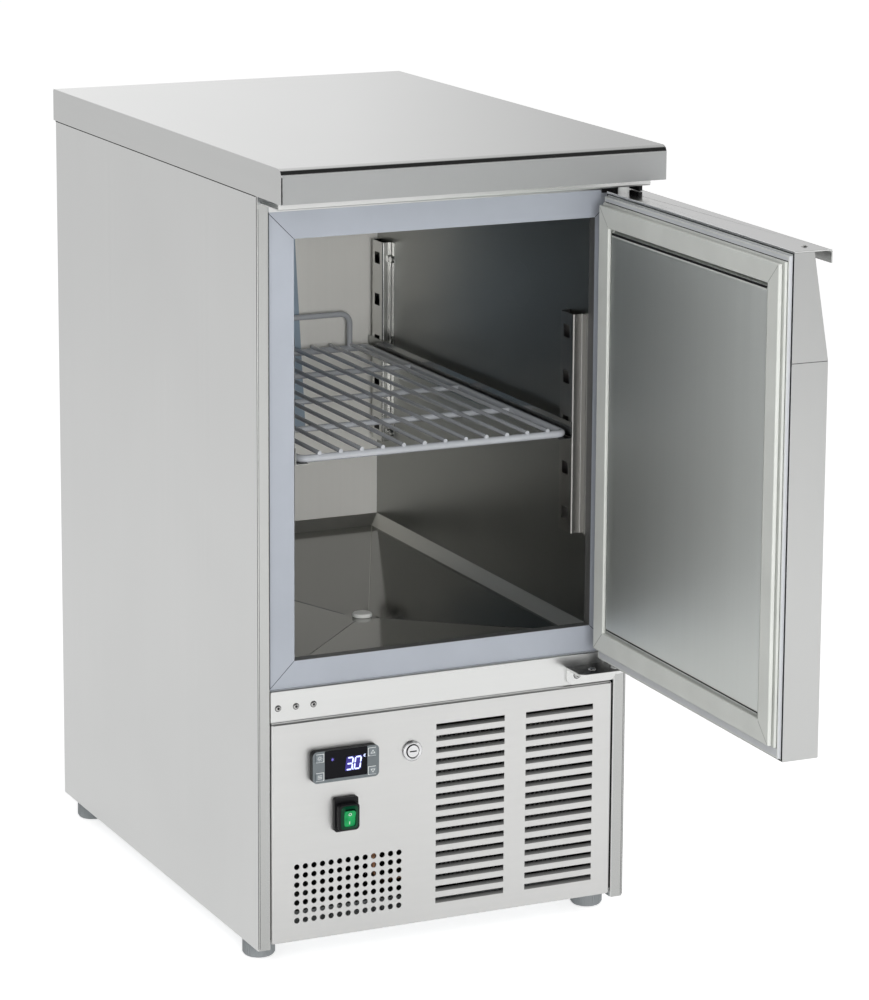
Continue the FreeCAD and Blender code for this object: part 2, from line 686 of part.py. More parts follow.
def liner_rear():
    """Rear wall of the compartment."""
    return box(-X_INSIDE, X_INSIDE, Y_INSIDE_REAR, Y_LINER_REAR, Z_RIM - SHEET, Z_CEILING + SHEET)


def liner_ceiling():
    """Ceiling of the compartment."""
    return box(-X_INSIDE, X_INSIDE, Y_LINER_FRONT, Y_INSIDE_REAR, Z_CEILING, Z_CEILING + SHEET)


def insulation_foam():
    """Foamed-in-place insulation, hollow for the compartment, the evaporator coil and the drain."""
    x = X_BODY - SHEET
    block = box(-x, x, Y_LINER_FRONT, Y_BACK_SHEET, Z_MACHINE_TOP + SHEET, Z_BODY_TOP - SHEET)
    hollow = box(-X_LINER, X_LINER, Y_LINER_FRONT - SHEET, Y_LINER_REAR, Z_RIM - SHEET, Z_CEILING + SHEET)
    side = RISER_X + PIPE_RADIUS + COIL_ROOM
    pocket = box(-side, side, Y_LINER_REAR - SHEET, COIL_Y + PIPE_RADIUS + COIL_ROOM,
                 Z_MACHINE_TOP, COIL_TOP + PIPE_BEND + 2 * PIPE_RADIUS)
    at, pipe = V(DRAIN_X, DRAIN_Y, 0), DRAIN_BORE + DRAIN_WALL + PIN_FIT
    drain = rod(pipe, at + AX_Z * Z_MACHINE_TOP, at + AX_Z * Z_RIM)
    collar = rod(pipe + DRAIN_COLLAR, at + AX_Z * (Z_DRAIN - SHEET - DRAIN_COLLAR_HEIGHT), at + AX_Z * Z_RIM)
    cut = block
    for piece in (hollow, basin(SHEET), pocket, drain, collar):
        cut = cut.cut(piece)
    return cut


def drain_pipe():
    """Drain tube from the floor pan to the drip basin, with a collar under the pan."""
    at = V(DRAIN_X, DRAIN_Y, 0)
    top = at + AX_Z * (Z_DRAIN - SHEET)
    low = at + AX_Z * (Z_TRAY + BASIN_HEIGHT - BASIN_DIP)
    collar = rod(DRAIN_BORE + DRAIN_WALL + DRAIN_COLLAR, top - AX_Z * DRAIN_COLLAR_HEIGHT, top)
    pipe = fused([rod(DRAIN_BORE + DRAIN_WALL, low, top), collar])
    return pipe.cut(rod(DRAIN_BORE, low - AX_Z * SHEET, top + AX_Z * SHEET))


def drain_plug():
    """Lift-out plug with a domed cap."""
    at = V(DRAIN_X, DRAIN_Y, Z_DRAIN + SOFT_FIT)
    cap = rod(PLUG_CAP, at, at + AX_Z * PLUG_HEIGHT)
    rim = [e for e in cap.Edges if e.BoundBox.ZMin > at.z + PLUG_HEIGHT / 2]
    cap = cap.makeFillet(PLUG_HEIGHT / 2, rim)
    return fused([cap, rod(DRAIN_BORE - SOFT_FIT, at - AX_Z * PLUG_STEM, at + AX_Z)])


def right_upright(y):
    """Slotted hat-section upright on the right wall, at this depth."""
    half = SHEET / 2
    w = UPRIGHT_WEB / 2
    wall, web = X_INSIDE - half, X_WEB + half
    points = [(wall, y - w - UPRIGHT_LIP), (wall, y - w + half), (web, y - w + half), (web, y + w - half),
              (wall, y + w - half), (wall, y + w + UPRIGHT_LIP)]
    upright = bent_sheet(points, SHEET, BEND, lambda p: V(p.x, p.y, UPRIGHT_LOW), AX_Z * UPRIGHT_HEIGHT)
    slots = [box(X_WEB - SHEET, X_WEB + 2 * SHEET, y - SLOT_WIDTH / 2, y + SLOT_WIDTH / 2,
                 z - SLOT_HEIGHT / 2, z + SLOT_HEIGHT / 2) for z in Z_SLOTS]
    return upright.cut(Part.makeCompound(slots))


def right_studs():
    """Round fixing heads on the wall lips of the right uprights."""
    heads = []
    x = X_INSIDE - SHEET
    for y in Y_UPRIGHTS:
        inward = UPRIGHT_WEB / 2 + UPRIGHT_LIP / 2
        place = y + inward if y < 0 else y - inward
        for z in ((UPRIGHT_LOW + Z_SLOTS[0]) / 2, Z_SLOTS[-1]):
            heads.append(rod(STUD_RADIUS, V(x, place, z), V(x - STUD_HEIGHT, place, z)))
    return heads


def right_runner():
    """Angle rail that hooks in the uprights and carries the shelf."""
    half = SHEET / 2
    y0, y1 = Y_UPRIGHTS[0] - UPRIGHT_WEB / 2, Y_INSIDE_REAR - RUNNER_END_GAP
    points = [(X_WEB - RUNNER_LEDGE, Z_LEDGE + half), (X_WEB - half, Z_LEDGE + half),
              (X_WEB - half, Z_LEDGE + RUNNER_HEIGHT)]
    rail = bent_sheet(points, SHEET, BEND, lambda p: V(p.x, y0, p.y), AX_Y * (y1 - y0))
    z = Z_LEDGE + RUNNER_HEIGHT - HOOK_HEIGHT / 2 - half
    hooks = [box(X_WEB - half, X_WEB + HOOK_REACH, y - HOOK_WIDTH / 2, y + HOOK_WIDTH / 2,
                 z - HOOK_HEIGHT / 2, z + HOOK_HEIGHT / 2) for y in Y_UPRIGHTS]
    return fused([rail] + hooks)


def wire_shelf():
    """Coated wire shelf: a deck of wires in a bent edge rod, and the upstand welded on its rear edge."""
    x, y0, y1, z = X_SHELF - SHELF_ROD, Y_SHELF_FRONT + SHELF_ROD, Y_SHELF_REAR - SHELF_ROD, Z_SHELF
    join = SHELF_ROD
    edge = tube([V(-join, y1, z), V(-x, y1, z), V(-x, y0, z), V(x, y0, z), V(x, y1, z), V(join, y1, z)],
                SHELF_ROD, SHELF_CORNER)
    pieces = [edge, rod(SHELF_ROD, V(-2 * join, y1, z), V(2 * join, y1, z))]
    z_wire = z + SHELF_ROD + SHELF_WIRE - SHELF_SINK
    for k in range(SHELF_WIRES):
        at = (k - (SHELF_WIRES - 1) / 2) * SHELF_WIRE_PITCH
        pieces.append(rod(SHELF_WIRE, V(at, y0 - SHELF_WIRE, z_wire), V(at, y1 + SHELF_WIRE, z_wire)))
    z_brace = z_wire - SHELF_WIRE - SHELF_BRACE + SHELF_SINK
    for k in range(SHELF_BRACES):
        y = y0 + (y1 - y0) * (k + 1) / (SHELF_BRACES + 1)
        pieces.append(rod(SHELF_BRACE, V(-x, y, z_brace), V(x, y, z_brace)))
    top = z + STOP_HEIGHT
    loop = [V(-STOP_HALF, y1, z), V(-STOP_HALF, y1, top), V(STOP_HALF, y1, top), V(STOP_HALF, y1, z)]
    deck = fused(pieces)
    return Part.makeCompound([deck, tube(loop, STOP_ROD, STOP_BEND).cut(deck)])


# Door, drawn closed and then swung open

def opened(shape):
    """The closed door's piece swung to where the door stands."""
    turned = shape.copy()
    turned.rotate(V(PIVOT_X, PIVOT_Y, 0), AX_Z, DOOR_OPEN)
    return turned


def door_section(inset, y_back):
    """Side outline of the door: upright face, then a slope that makes room for the fingers."""
    lean = (DOOR_THICK - GRIP_TOP_THICK) / GRIP_SLOPE
    shift = inset * math.sqrt(1 + lean * lean)
    front, low, top = Y_DOOR_OUT + inset, Z_DOOR_LOW + inset, Z_SKIN_TOP - inset
    z_break = Z_SEAM + (inset - shift) / lean
    y_top = Y_DOOR_OUT + shift + lean * (top - Z_SEAM)
    x = -X_DOOR + inset
    points = [V(x, y_back, low), V(x, front, low), V(x, front, z_break), V(x, y_top, top), V(x, y_back, top)]
    return prism(points, AX_X * 2 * (X_DOOR - inset))


def bush_holes():
    """Clearance for both hinge bushes through the door."""
    return Part.makeCompound([rod(BUSH_SLEEVE + PIN_FIT, V(PIVOT_X, PIVOT_Y, z0), V(PIVOT_X, PIVOT_Y, z1))
                              for z0, z1 in ((Z_DOOR_LOW - SHEET, Z_DOOR_LOW + BUSH_DEPTH),
                                             (Z_DOOR_TOP - BUSH_DEPTH, Z_DOOR_TOP + SHEET))])


def door_skin():
    """Steel outer shell of the door, with a fine seam where the grip's slope starts."""
    shell = door_section(0, Y_DOOR_IN).cut(door_section(SHEET, Y_DOOR_IN + SHEET))
    deep = SEAM / 2
    seams = [box(s * X_DOOR - deep, s * X_DOOR + deep, Y_DOOR_OUT - SHEET, Y_DOOR_IN + SHEET,
                 Z_SEAM - SEAM, Z_SEAM) for s in (-1, 1)]
    return opened(shell.cut(Part.makeCompound(seams)).cut(bush_holes()))


def door_foam():
    """Insulation that fills the door."""
    return opened(door_section(SHEET, Y_DOOR_IN - SHEET).cut(bush_holes()))


def door_liner():
    """Flat steel sheet that closes the inside of the door."""
    x = X_DOOR - SHEET
    return opened(box(-x, x, Y_DOOR_IN - SHEET, Y_DOOR_IN, Z_DOOR_LOW + SHEET, Z_SKIN_TOP - SHEET))


def door_grip():
    """Folded plate along the top of the door, with a turned-down lip to pull on."""
    half = GRIP_SHEET / 2
    front = Y_DOOR_OUT - GRIP_PROUD + half
    points = [(Y_DOOR_IN, Z_DOOR_TOP - half), (front, Z_DOOR_TOP - half), (front, Z_DOOR_TOP - GRIP_LIP)]
    plate = bent_sheet(points, GRIP_SHEET, GRIP_BEND, lambda p: V(-X_DOOR, p.x, p.y), AX_X * 2 * X_DOOR)
    return opened(plate.cut(bush_holes()))


def frame_ring(x, z0, z1, width, y0, y1):
    """A rectangular ring with flat faces, seen from the front."""
    outer = box(-x, x, y0, y1, z0, z1)
    return outer.cut(box(width - x, x - width, y0 - SHEET, y1 + SHEET, z0 + width, z1 - width))


def door_retainer():
    """Plastic profile that holds the gasket round the inside of the door."""
    i = RETAINER_INSET
    return opened(frame_ring(X_DOOR - i, Z_DOOR_LOW + i, Z_SKIN_TOP - i, RETAINER_WIDTH, Y_DOOR_IN,
                             Y_DOOR_IN + RETAINER_THICK))


def door_gasket():
    """Magnetic gasket: flat base, narrow neck and rounded sealing bulb."""
    x, z0, z1 = X_DOOR - GASKET_SIDE_INSET, Z_DOOR_LOW + GASKET_BOTTOM_INSET, Z_DOOR_TOP - GASKET_TOP_INSET
    y0 = Y_DOOR_IN + RETAINER_THICK
    y1, y2, y3 = y0 + GASKET_BASE, y0 + GASKET_BASE + GASKET_NECK, Y_BREAKER - SEAL_GAP
    n, b, w = GASKET_NECK_INSET, GASKET_BULB_INSET, GASKET_WIDTH
    bulb = frame_ring(x - b, z0 + b, z1 - b, w - 2 * b, y2, y3)
    rims = [e for e in bulb.Edges if e.BoundBox.YMin > y3 - EDGE_FIT]
    bulb = bulb.makeFillet(GASKET_ROUND, rims)
    base = frame_ring(x, z0, z1, w, y0, y1)
    neck = frame_ring(x - n, z0 + n, z1 - n, w - 2 * n, y1, y2)
    return opened(fused([base, neck, bulb]))


def hinge_bushes():
    """Plastic bushes that carry the door on its pins: a thick flange outside and a sleeve inside the door."""
    bushes = []
    for edge, out in ((Z_DOOR_LOW, -1), (Z_DOOR_TOP, 1)):
        at = V(PIVOT_X, PIVOT_Y, edge)
        tip = at + AX_Z * (out * (DOOR_TOP_GAP - BUSH_GAP))
        deep = at - AX_Z * (out * BUSH_DEPTH)
        solid = fused([rod(BUSH_FLANGE, at, tip), rod(BUSH_SLEEVE, deep, tip)])
        bushes.append(solid.cut(rod(PIN_RADIUS + PIN_FIT, deep - AX_Z * out, tip + AX_Z * out)))
    return opened(Part.makeCompound(bushes))


def hinge_pins():
    """Fixed pins of the door hinge, each with a flat head behind its plate."""
    pins = []
    for plate, door, out in ((Z_HINGE_TOP - HINGE_PLATE, Z_DOOR_LOW, -1),
                             (Z_RAIL_LOW + SHEET, Z_DOOR_TOP, 1)):
        head = V(PIVOT_X, PIVOT_Y, plate)
        tip = V(PIVOT_X, PIVOT_Y, door - out * PIN_GRIP)
        pins.append(fused([rod(PIN_RADIUS, tip, head + AX_Z * (out * PIN_HEAD)),
                           rod(BUSH_FLANGE, head, head + AX_Z * (out * PIN_HEAD))]))
    return pins


def lower_hinge_bracket():
    """Angle bracket on the middle rail: its flat plate carries the lower pin."""
    x0, x1 = PIVOT_X - HINGE_LEFT, PIVOT_X + HINGE_RIGHT
    y0, low = PIVOT_Y - HINGE_FRONT, Z_HINGE_TOP - HINGE_PLATE
    plate = box(x0, x1, y0, Y_FRONT, low, Z_HINGE_TOP)
    corners = [e for e in plate.Edges if e.BoundBox.YMax < y0 + SHEET and e.BoundBox.ZLength > SHEET]
    plate = plate.makeFillet(HINGE_ROUND, corners)
    leg = box(x0, x1, Y_FRONT - HINGE_PLATE, Y_FRONT, low - HINGE_LEG, Z_HINGE_TOP)
    corners = [e for e in leg.Edges if e.BoundBox.ZMax < low and e.BoundBox.YLength > SHEET]
    leg = leg.makeFillet(HINGE_ROUND, corners)
    hole = rod(PIN_RADIUS + PIN_FIT, V(PIVOT_X, PIVOT_Y, low - SHEET),
               V(PIVOT_X, PIVOT_Y, Z_HINGE_TOP + SHEET))
    return fused([plate, leg]).cut(hole)


# Control panel

def panel_shell():
    """Bare control panel: a shallow pressed tray with rounded edges, open at the back."""
    def tray(inset, y_back):
        x = X_PANEL - inset
        block = box(-x, x, Y_PANEL + inset, y_back, Z_PANEL_LOW + inset, Z_PANEL_TOP - inset)
        round_edges = [e for e in block.Edges if abs(e.tangentAt(e.FirstParameter).y) > 0.9
                       or e.BoundBox.YMax < Y_PANEL + inset + EDGE_FIT]
        return block.makeFillet(PANEL_ROUND - inset, round_edges)
    back = Y_PANEL + PANEL_DEPTH
    return tray(0, back).cut(tray(PANEL_SHEET, back + PANEL_ROUND))


def louvre_rows():
    """Middle height of each louvre slot, from the top down."""
    return [Z_PANEL_TOP - LOUVRE_TOP - k * LOUVRE_PITCH for k in range(LOUVRE_ROWS)]


def control_panel():
    """Front panel of the machine space: louvres, air holes and openings for the controls."""
    y0, y1 = Y_PANEL - PANEL_SHEET, Y_PANEL + 2 * PANEL_SHEET
    cuts, flaps = [], []
    for x in LOUVRE_COLUMNS:
        left = x - LOUVRE_WIDTH / 2
        for z in louvre_rows():
            low = z - LOUVRE_HEIGHT / 2
            cuts.append(box(left, left + LOUVRE_WIDTH, y0, y1, low, low + LOUVRE_HEIGHT))
            half = PANEL_SHEET / 2
            points = [V(left, Y_PANEL, low), V(left, Y_PANEL + FLAP_DEPTH, low + FLAP_RISE),
                      V(left, Y_PANEL + FLAP_DEPTH + PANEL_SHEET, low + FLAP_RISE),
                      V(left, Y_PANEL + PANEL_SHEET, low), V(left, Y_PANEL + half, low - half)]
            flaps.append(prism(points, AX_X * LOUVRE_WIDTH))
    for i in range(HOLE_COLUMNS):
        for j in range(HOLE_ROWS):
            x = HOLES_X + (i - (HOLE_COLUMNS - 1) / 2) * HOLE_PITCH
            z = Z_PANEL_LOW + HOLES_Z + (j - (HOLE_ROWS - 1) / 2) * HOLE_PITCH
            cuts.append(rod(HOLE_RADIUS, V(x, y0, z), V(x, y1, z)))
    cuts.append(box(CONTROL_X - CONTROL_BODY_WIDTH / 2, CONTROL_X + CONTROL_BODY_WIDTH / 2, y0, y1,
                    CONTROL_Z - CONTROL_BODY_HEIGHT / 2, CONTROL_Z + CONTROL_BODY_HEIGHT / 2))
    cuts.append(rod(LOCK_BODY + PIN_FIT, V(LOCK_X, y0, LOCK_Z), V(LOCK_X, y1, LOCK_Z)))
    cuts.append(box(SWITCH_X - COLLAR_WIDTH / 2, SWITCH_X + COLLAR_WIDTH / 2, y0, y1,
                    SWITCH_Z - COLLAR_DROP - COLLAR_HEIGHT / 2, SWITCH_Z - COLLAR_DROP + COLLAR_HEIGHT / 2))
    cuts.append(rod(PIVOT_SCREW + PIN_FIT, V(-X_OPEN, Y_PANEL_AXIS, Z_PANEL_AXIS),
                    V(X_OPEN, Y_PANEL_AXIS, Z_PANEL_AXIS)))
    return panel_shell().cut(Part.makeCompound(cuts)).multiFuse(flaps)


def panel_pivots():
    """Shoulder screws through the side panels' lips on which the control panel tilts."""
    screws = []
    for side in (-1, 1):
        def at(x):
            return V(side * x, Y_PANEL_AXIS, Z_PANEL_AXIS)
        outer = X_OPEN + SHEET
        screws.append(fused([rod(PIVOT_SCREW, at(X_PANEL - PIVOT_SCREW_GRIP), at(outer + PIN_HEAD)),
                             rod(PIVOT_SCREW_HEAD, at(outer), at(outer + PIN_HEAD))]))
    return screws


def button_places():
    """Middle of each controller key: light, set, up and down."""
    return {"light_button": (-1, 1), "set_button": (-1, -1), "up_button": (1, 1), "down_button": (1, -1)}


def controller():
    """Digital thermostat: bezel with a sunken window and four key wells, and the case behind the panel."""
    front = Y_PANEL - CONTROL_PROUD
    bezel = rounded_plate(CONTROL_X, CONTROL_Z, CONTROL_WIDTH, CONTROL_HEIGHT, CONTROL_ROUND, front, Y_PANEL)
    case = box(CONTROL_X - CONTROL_BODY_WIDTH / 2, CONTROL_X + CONTROL_BODY_WIDTH / 2, Y_PANEL,
               Y_PANEL + CONTROL_BODY_DEPTH, CONTROL_Z - CONTROL_BODY_HEIGHT / 2,
               CONTROL_Z + CONTROL_BODY_HEIGHT / 2)
    cuts = [box(CONTROL_X - WINDOW_WIDTH / 2, CONTROL_X + WINDOW_WIDTH / 2,
                front - SHEET, front + WINDOW_RECESS, CONTROL_Z + WINDOW_LIFT - WINDOW_HEIGHT / 2,
                CONTROL_Z + WINDOW_LIFT + WINDOW_HEIGHT / 2)]
    depth = BUTTON_DEPTH - BUTTON_PROUD + BUTTON_TRAVEL + SOFT_FIT
    for sx, sz in button_places().values():
        cuts.append(rounded_plate(CONTROL_X + sx * BUTTON_X, CONTROL_Z + sz * BUTTON_Z,
                                  BUTTON_WIDTH + 2 * SOFT_FIT, BUTTON_HEIGHT + 2 * SOFT_FIT, SHEET + SOFT_FIT,
                                  front - SHEET, front + depth))
    return fused([bezel, case]).cut(Part.makeCompound(cuts))


def button(name):
    """One controller key."""
    sx, sz = button_places()[name]
    front = Y_PANEL - CONTROL_PROUD - BUTTON_PROUD
    return rounded_plate(CONTROL_X + sx * BUTTON_X, CONTROL_Z + sz * BUTTON_Z, BUTTON_WIDTH, BUTTON_HEIGHT,
                         SHEET, front, front + BUTTON_DEPTH)


def lock_body():
    """Chromed lock housing through the panel."""
    def at(y):
        return V(LOCK_X, y, LOCK_Z)
    end = Y_CAM - SOFT_FIT
    body = fused([rod(LOCK_FACE, at(Y_PANEL - LOCK_FACE_PROUD), at(Y_PANEL)),
                  rod(LOCK_BODY, at(Y_PANEL - SHEET), at(end))])
    return body.cut(rod(LOCK_BARREL + SHAFT_FIT, at(Y_PANEL - LOCK_FACE), at(end + SHEET)))


def lock_barrel():
    """Turning barrel with its key slot, and the cam that catches behind the middle rail."""
    def at(y):
        return V(LOCK_X, y, LOCK_Z)
    front = Y_PANEL - LOCK_FACE_PROUD - SOFT_FIT
    barrel = rod(LOCK_BARREL, at(front), at(Y_CAM + CAM_THICK))
    cam = box(LOCK_X - CAM_WIDTH / 2, LOCK_X + CAM_REACH, Y_CAM, Y_CAM + CAM_THICK,
              LOCK_Z - CAM_WIDTH / 2, LOCK_Z + CAM_WIDTH / 2)
    key = box(LOCK_X - KEY_LENGTH / 2, LOCK_X + KEY_LENGTH / 2, front - SHEET, front + KEY_DEPTH,
              LOCK_Z - KEY_WIDTH / 2, LOCK_Z + KEY_WIDTH / 2)
    return fused([barrel, cam]).cut(key)


def rocker_frame():
    """Black switch frame with a raised collar round the rocker and the switch case behind the panel."""
    base = rounded_plate(SWITCH_X, SWITCH_Z, SWITCH_WIDTH, SWITCH_HEIGHT, SWITCH_ROUND,
                         Y_PANEL - SWITCH_PROUD, Y_PANEL)
    front = Y_PANEL - COLLAR_PROUD
    collar = rounded_plate(SWITCH_X, ROCKER_Z, COLLAR_WIDTH, COLLAR_HEIGHT, COLLAR_ROUND, front, Y_PANEL)
    collar = collar.makeFillet(COLLAR_EDGE, [e for e in collar.Edges if e.BoundBox.YMax < front + EDGE_FIT])
    case = box(SWITCH_X - COLLAR_WIDTH / 2, SWITCH_X + COLLAR_WIDTH / 2, Y_PANEL, Y_PANEL + SWITCH_BODY_DEPTH,
               ROCKER_Z - COLLAR_HEIGHT / 2, ROCKER_Z + COLLAR_HEIGHT / 2)
    wide, high = ROCKER_WIDTH / 2 + SOFT_FIT, ROCKER_HEIGHT / 2 + ROCKER_ROOM
    well = rounded_plate(SWITCH_X, ROCKER_Z, 2 * wide, 2 * high, ROCKER_CORNER,
                         Y_PANEL - 2 * COLLAR_PROUD, ROCKER_Y + ROCKER_HEIGHT / 2)
    axle = AX_X * (wide + 2 * SHEET)
    middle = V(SWITCH_X, ROCKER_Y, ROCKER_Z)
    return fused([base, collar, case]).cut(well).cut(rod(SHEET + SHAFT_FIT, middle - axle, middle + axle))


def rocker_switch():
    """Green rocker on two small trunnions, pressed at its lower end."""
    front, back = Y_PANEL - COLLAR_PROUD - ROCKER_PROUD, ROCKER_Y + 2 * SHEET
    h = ROCKER_HEIGHT / 2
    dip = h * math.tan(math.radians(ROCKER_ANGLE))
    x = SWITCH_X - ROCKER_WIDTH / 2
    points = [V(x, front, ROCKER_Z - h), V(x, front + dip, ROCKER_Z), V(x, front, ROCKER_Z + h),
              V(x, back, ROCKER_Z + h / 2), V(x, back, ROCKER_Z - h / 2)]
    axle = ROCKER_WIDTH / 2 + 2 * SHEET
    outline = rounded_plate(SWITCH_X, ROCKER_Z, ROCKER_WIDTH, ROCKER_HEIGHT, ROCKER_CORNER,
                            front - SHEET, back + SHEET)
    body = fused([prism(points, AX_X * ROCKER_WIDTH).common(outline),
                  rod(SHEET, V(SWITCH_X - axle, ROCKER_Y, ROCKER_Z), V(SWITCH_X + axle, ROCKER_Y, ROCKER_Z))])
    body.rotate(V(SWITCH_X, ROCKER_Y, ROCKER_Z), AX_X, ROCKER_ANGLE)
    return body


# Base and feet

def foot_places():
    """Middle of each foot on the floor."""
    return {"foot_" + depth + "_" + side: V(s * FOOT_X, y, 0)
            for depth, y in zip(("front", "rear"), FOOT_YS) for side, s in (("left", -1), ("right", 1))}


def base_tray():
    """Folded floor of the machine space with a welded nut over each foot."""
    x, t = X_BODY - SHEET - TRAY_FIT, TRAY_SHEET
    y0, y1 = Y_TRAY_FRONT, Y_BACK_SHEET - TRAY_FIT
    tray = box(-x, x, y0, y1, Z_BASE, Z_BASE + TRAY_HEIGHT).cut(
        box(t - x, x - t, y0 + t, y1 - t, Z_TRAY, Z_BASE + 2 * TRAY_HEIGHT))
    places = foot_places().values()
    nuts = [rod(NUT_RADIUS, p + AX_Z * Z_BASE, p + AX_Z * (Z_TRAY + NUT_HEIGHT)) for p in places]
    bores = [rod(FOOT_STUD + SHAFT_FIT, p, p + AX_Z * (2 * Z_BASE + NUT_HEIGHT)) for p in places]
    return fused([tray] + nuts).cut(Part.makeCompound(bores))


def foot(name):
    """Levelling foot: ribbed round pad with a rounded sole, on a stud."""
    p = foot_places()[name]
    top = Z_BASE - FOOT_TOP_GAP
    pad = rod(FOOT_RADIUS - FOOT_RIB, p, p + AX_Z * top)
    pad = pad.makeFillet(FOOT_ROUND, [e for e in pad.Edges if e.BoundBox.ZMax < SHEET])
    ribs = []
    for k in range(FOOT_RIBS):
        rib = box(p.x + FOOT_RADIUS - 3 * FOOT_RIB, p.x + FOOT_RADIUS, p.y - FOOT_RIB, p.y + FOOT_RIB,
                  FOOT_ROUND, top - FOOT_RIB)
        rib.rotate(p, AX_Z, 360.0 * k / FOOT_RIBS)
        ribs.append(rib)
    return fused([pad] + ribs + [rod(FOOT_STUD, p + AX_Z * FOOT_ROUND, p + AX_Z * (top + FOOT_STUD_LENGTH))])


# Refrigeration

def condenser_coil():
    """Finned condenser block between two end plates."""
    x0, x1 = FAN_X - CONDENSER_WIDTH / 2, FAN_X + CONDENSER_WIDTH / 2
    z0, z1 = Z_TRAY + CONDENSER_LIFT, Z_TRAY + CONDENSER_LIFT + CONDENSER_HEIGHT
    core = box(x0, x1, Y_CONDENSER + FIN_DEPTH, Y_CONDENSER_BACK - FIN_DEPTH, z0, z1)
    fins = []
    count = int((CONDENSER_WIDTH - FIN_PITCH) / FIN_PITCH)
    for k in range(count):
        x = FAN_X + (k - (count - 1) / 2) * FIN_PITCH
        fins.append(box(x - FIN_THICK / 2, x + FIN_THICK / 2, Y_CONDENSER, Y_CONDENSER_BACK, z0, z1))
    plates = [box(x, x + CONDENSER_PLATE, Y_CONDENSER, Y_CONDENSER_BACK, Z_TRAY, z1 + CONDENSER_LIFT)
              for x in (x0, x1 - CONDENSER_PLATE)]
    return fused([core] + fins + plates)


def blade(axis_point, hub, radius, depth, k, count):
    """One twisted fan blade, about an axis along Y."""
    sections = []
    for r, pitch, chord in ((hub - SHEET, FAN_PITCH * 1.5, depth * 1.1), (radius, FAN_PITCH, depth * 1.7)):
        c, s = math.cos(math.radians(pitch)) * chord / 2, math.sin(math.radians(pitch)) * chord / 2
        t = BLADE_THICK / 2
        corners = [V(c, -s - t, r), V(c, -s + t, r), V(-c, s + t, r), V(-c, s - t, r)]
        sections.append(Part.makePolygon(corners + corners[:1]))
    made = Part.makeLoft(sections, True, True)
    made.rotate(V(0, 0, 0), AX_Y, 360.0 * k / count)
    made.translate(axis_point + AX_Y * (depth / 2))
    return made


def fan_rotor(axis_point, hub, radius, depth, shaft_end):
    """Fan wheel: hub, twisted blades and the shaft it turns on."""
    tip = axis_point + AX_Y * depth
    shaft = rod(SHAFT_RADIUS, axis_point + AX_Y * SHEET, V(axis_point.x, shaft_end, axis_point.z))
    blades = [blade(axis_point, hub, radius, depth, k, FAN_BLADES) for k in range(FAN_BLADES)]
    return fused([rod(hub, axis_point, tip), shaft] + blades)


def condenser_fan():
    """Fan wheel that draws air through the condenser."""
    return fan_rotor(V(FAN_X, Y_FAN, FAN_Z), FAN_HUB, FAN_RADIUS, FAN_DEPTH, Y_MOTOR + SHAFT_SEAT)


def condenser_fan_motor():
    """Fan motor on its pedestal."""
    start, end = V(FAN_X, Y_MOTOR, FAN_Z), V(FAN_X, Y_MOTOR + MOTOR_LENGTH, FAN_Z)
    middle = Y_MOTOR + MOTOR_LENGTH / 2
    stem = box(FAN_X - MOTOR_RADIUS / 2, FAN_X + MOTOR_RADIUS / 2, middle - MOTOR_STAND, middle + MOTOR_STAND,
               Z_TRAY, FAN_Z)
    sole = box(FAN_X - MOTOR_FOOT / 2, FAN_X + MOTOR_FOOT / 2, Y_MOTOR, Y_MOTOR + MOTOR_LENGTH, Z_TRAY,
               Z_TRAY + MOTOR_STAND)
    bore = rod(SHAFT_RADIUS + SHAFT_FIT, start - AX_Y * SHEET, start + AX_Y * (SHAFT_SEAT + SHEET))
    return fused([rod(MOTOR_RADIUS, start, end), stem, sole]).cut(bore)


def compressor():
    """Hermetic compressor: domed shell on a foot plate, terminal box and two pipe stubs."""
    base = Z_TRAY + COMPRESSOR_FOOT + COMPRESSOR_PLATE
    r, top = COMPRESSOR_RADIUS, Z_TRAY + COMPRESSOR_HEIGHT
    shoulder, heel, sole = top - COMPRESSOR_DOME, base + COMPRESSOR_HEEL, COMPRESSOR_SOLE
    s = math.sqrt(0.5)

    def at(radius, z):
        return V(COMPRESSOR_X + radius, COMPRESSOR_Y, z)
    edges = [Part.LineSegment(at(0, base), at(sole, base)).toShape(),
             Part.Arc(at(sole, base), at(sole + (r - sole) * s, heel - (heel - base) * s),
                      at(r, heel)).toShape(),
             Part.LineSegment(at(r, heel), at(r, shoulder)).toShape(),
             Part.Arc(at(r, shoulder), at(r * s, shoulder + (top - shoulder) * s), at(0, top)).toShape(),
             Part.LineSegment(at(0, top), at(0, base)).toShape()]
    dome = Part.Face(Part.Wire(edges)).revolve(V(COMPRESSOR_X, COMPRESSOR_Y, 0), AX_Z, 360)
    x, y = r, sole
    plate = box(COMPRESSOR_X - x, COMPRESSOR_X + x, COMPRESSOR_Y - y, COMPRESSOR_Y + y,
                base - COMPRESSOR_PLATE, base + SHEET)
    legs = []
    for i in (-1, 1):
        for j in (-1, 1):
            foot_at = V(COMPRESSOR_X + i * (x - COMPRESSOR_LEG_INSET),
                        COMPRESSOR_Y + j * (y - COMPRESSOR_LEG_INSET), 0)
            legs.append(rod(COMPRESSOR_LEG, foot_at + AX_Z * Z_TRAY, foot_at + AX_Z * base))
    terminal = box(COMPRESSOR_X + sole, COMPRESSOR_X + r + TERMINAL_REACH, COMPRESSOR_Y - TERMINAL_WIDTH / 2,
                   COMPRESSOR_Y + TERMINAL_WIDTH / 2, shoulder - TERMINAL_HEIGHT, shoulder)
    stubs = [rod(PIPE_RADIUS, middle, end) for middle, end in (discharge_stub(), suction_stub())]
    return fused([dome, plate, terminal] + legs + stubs)


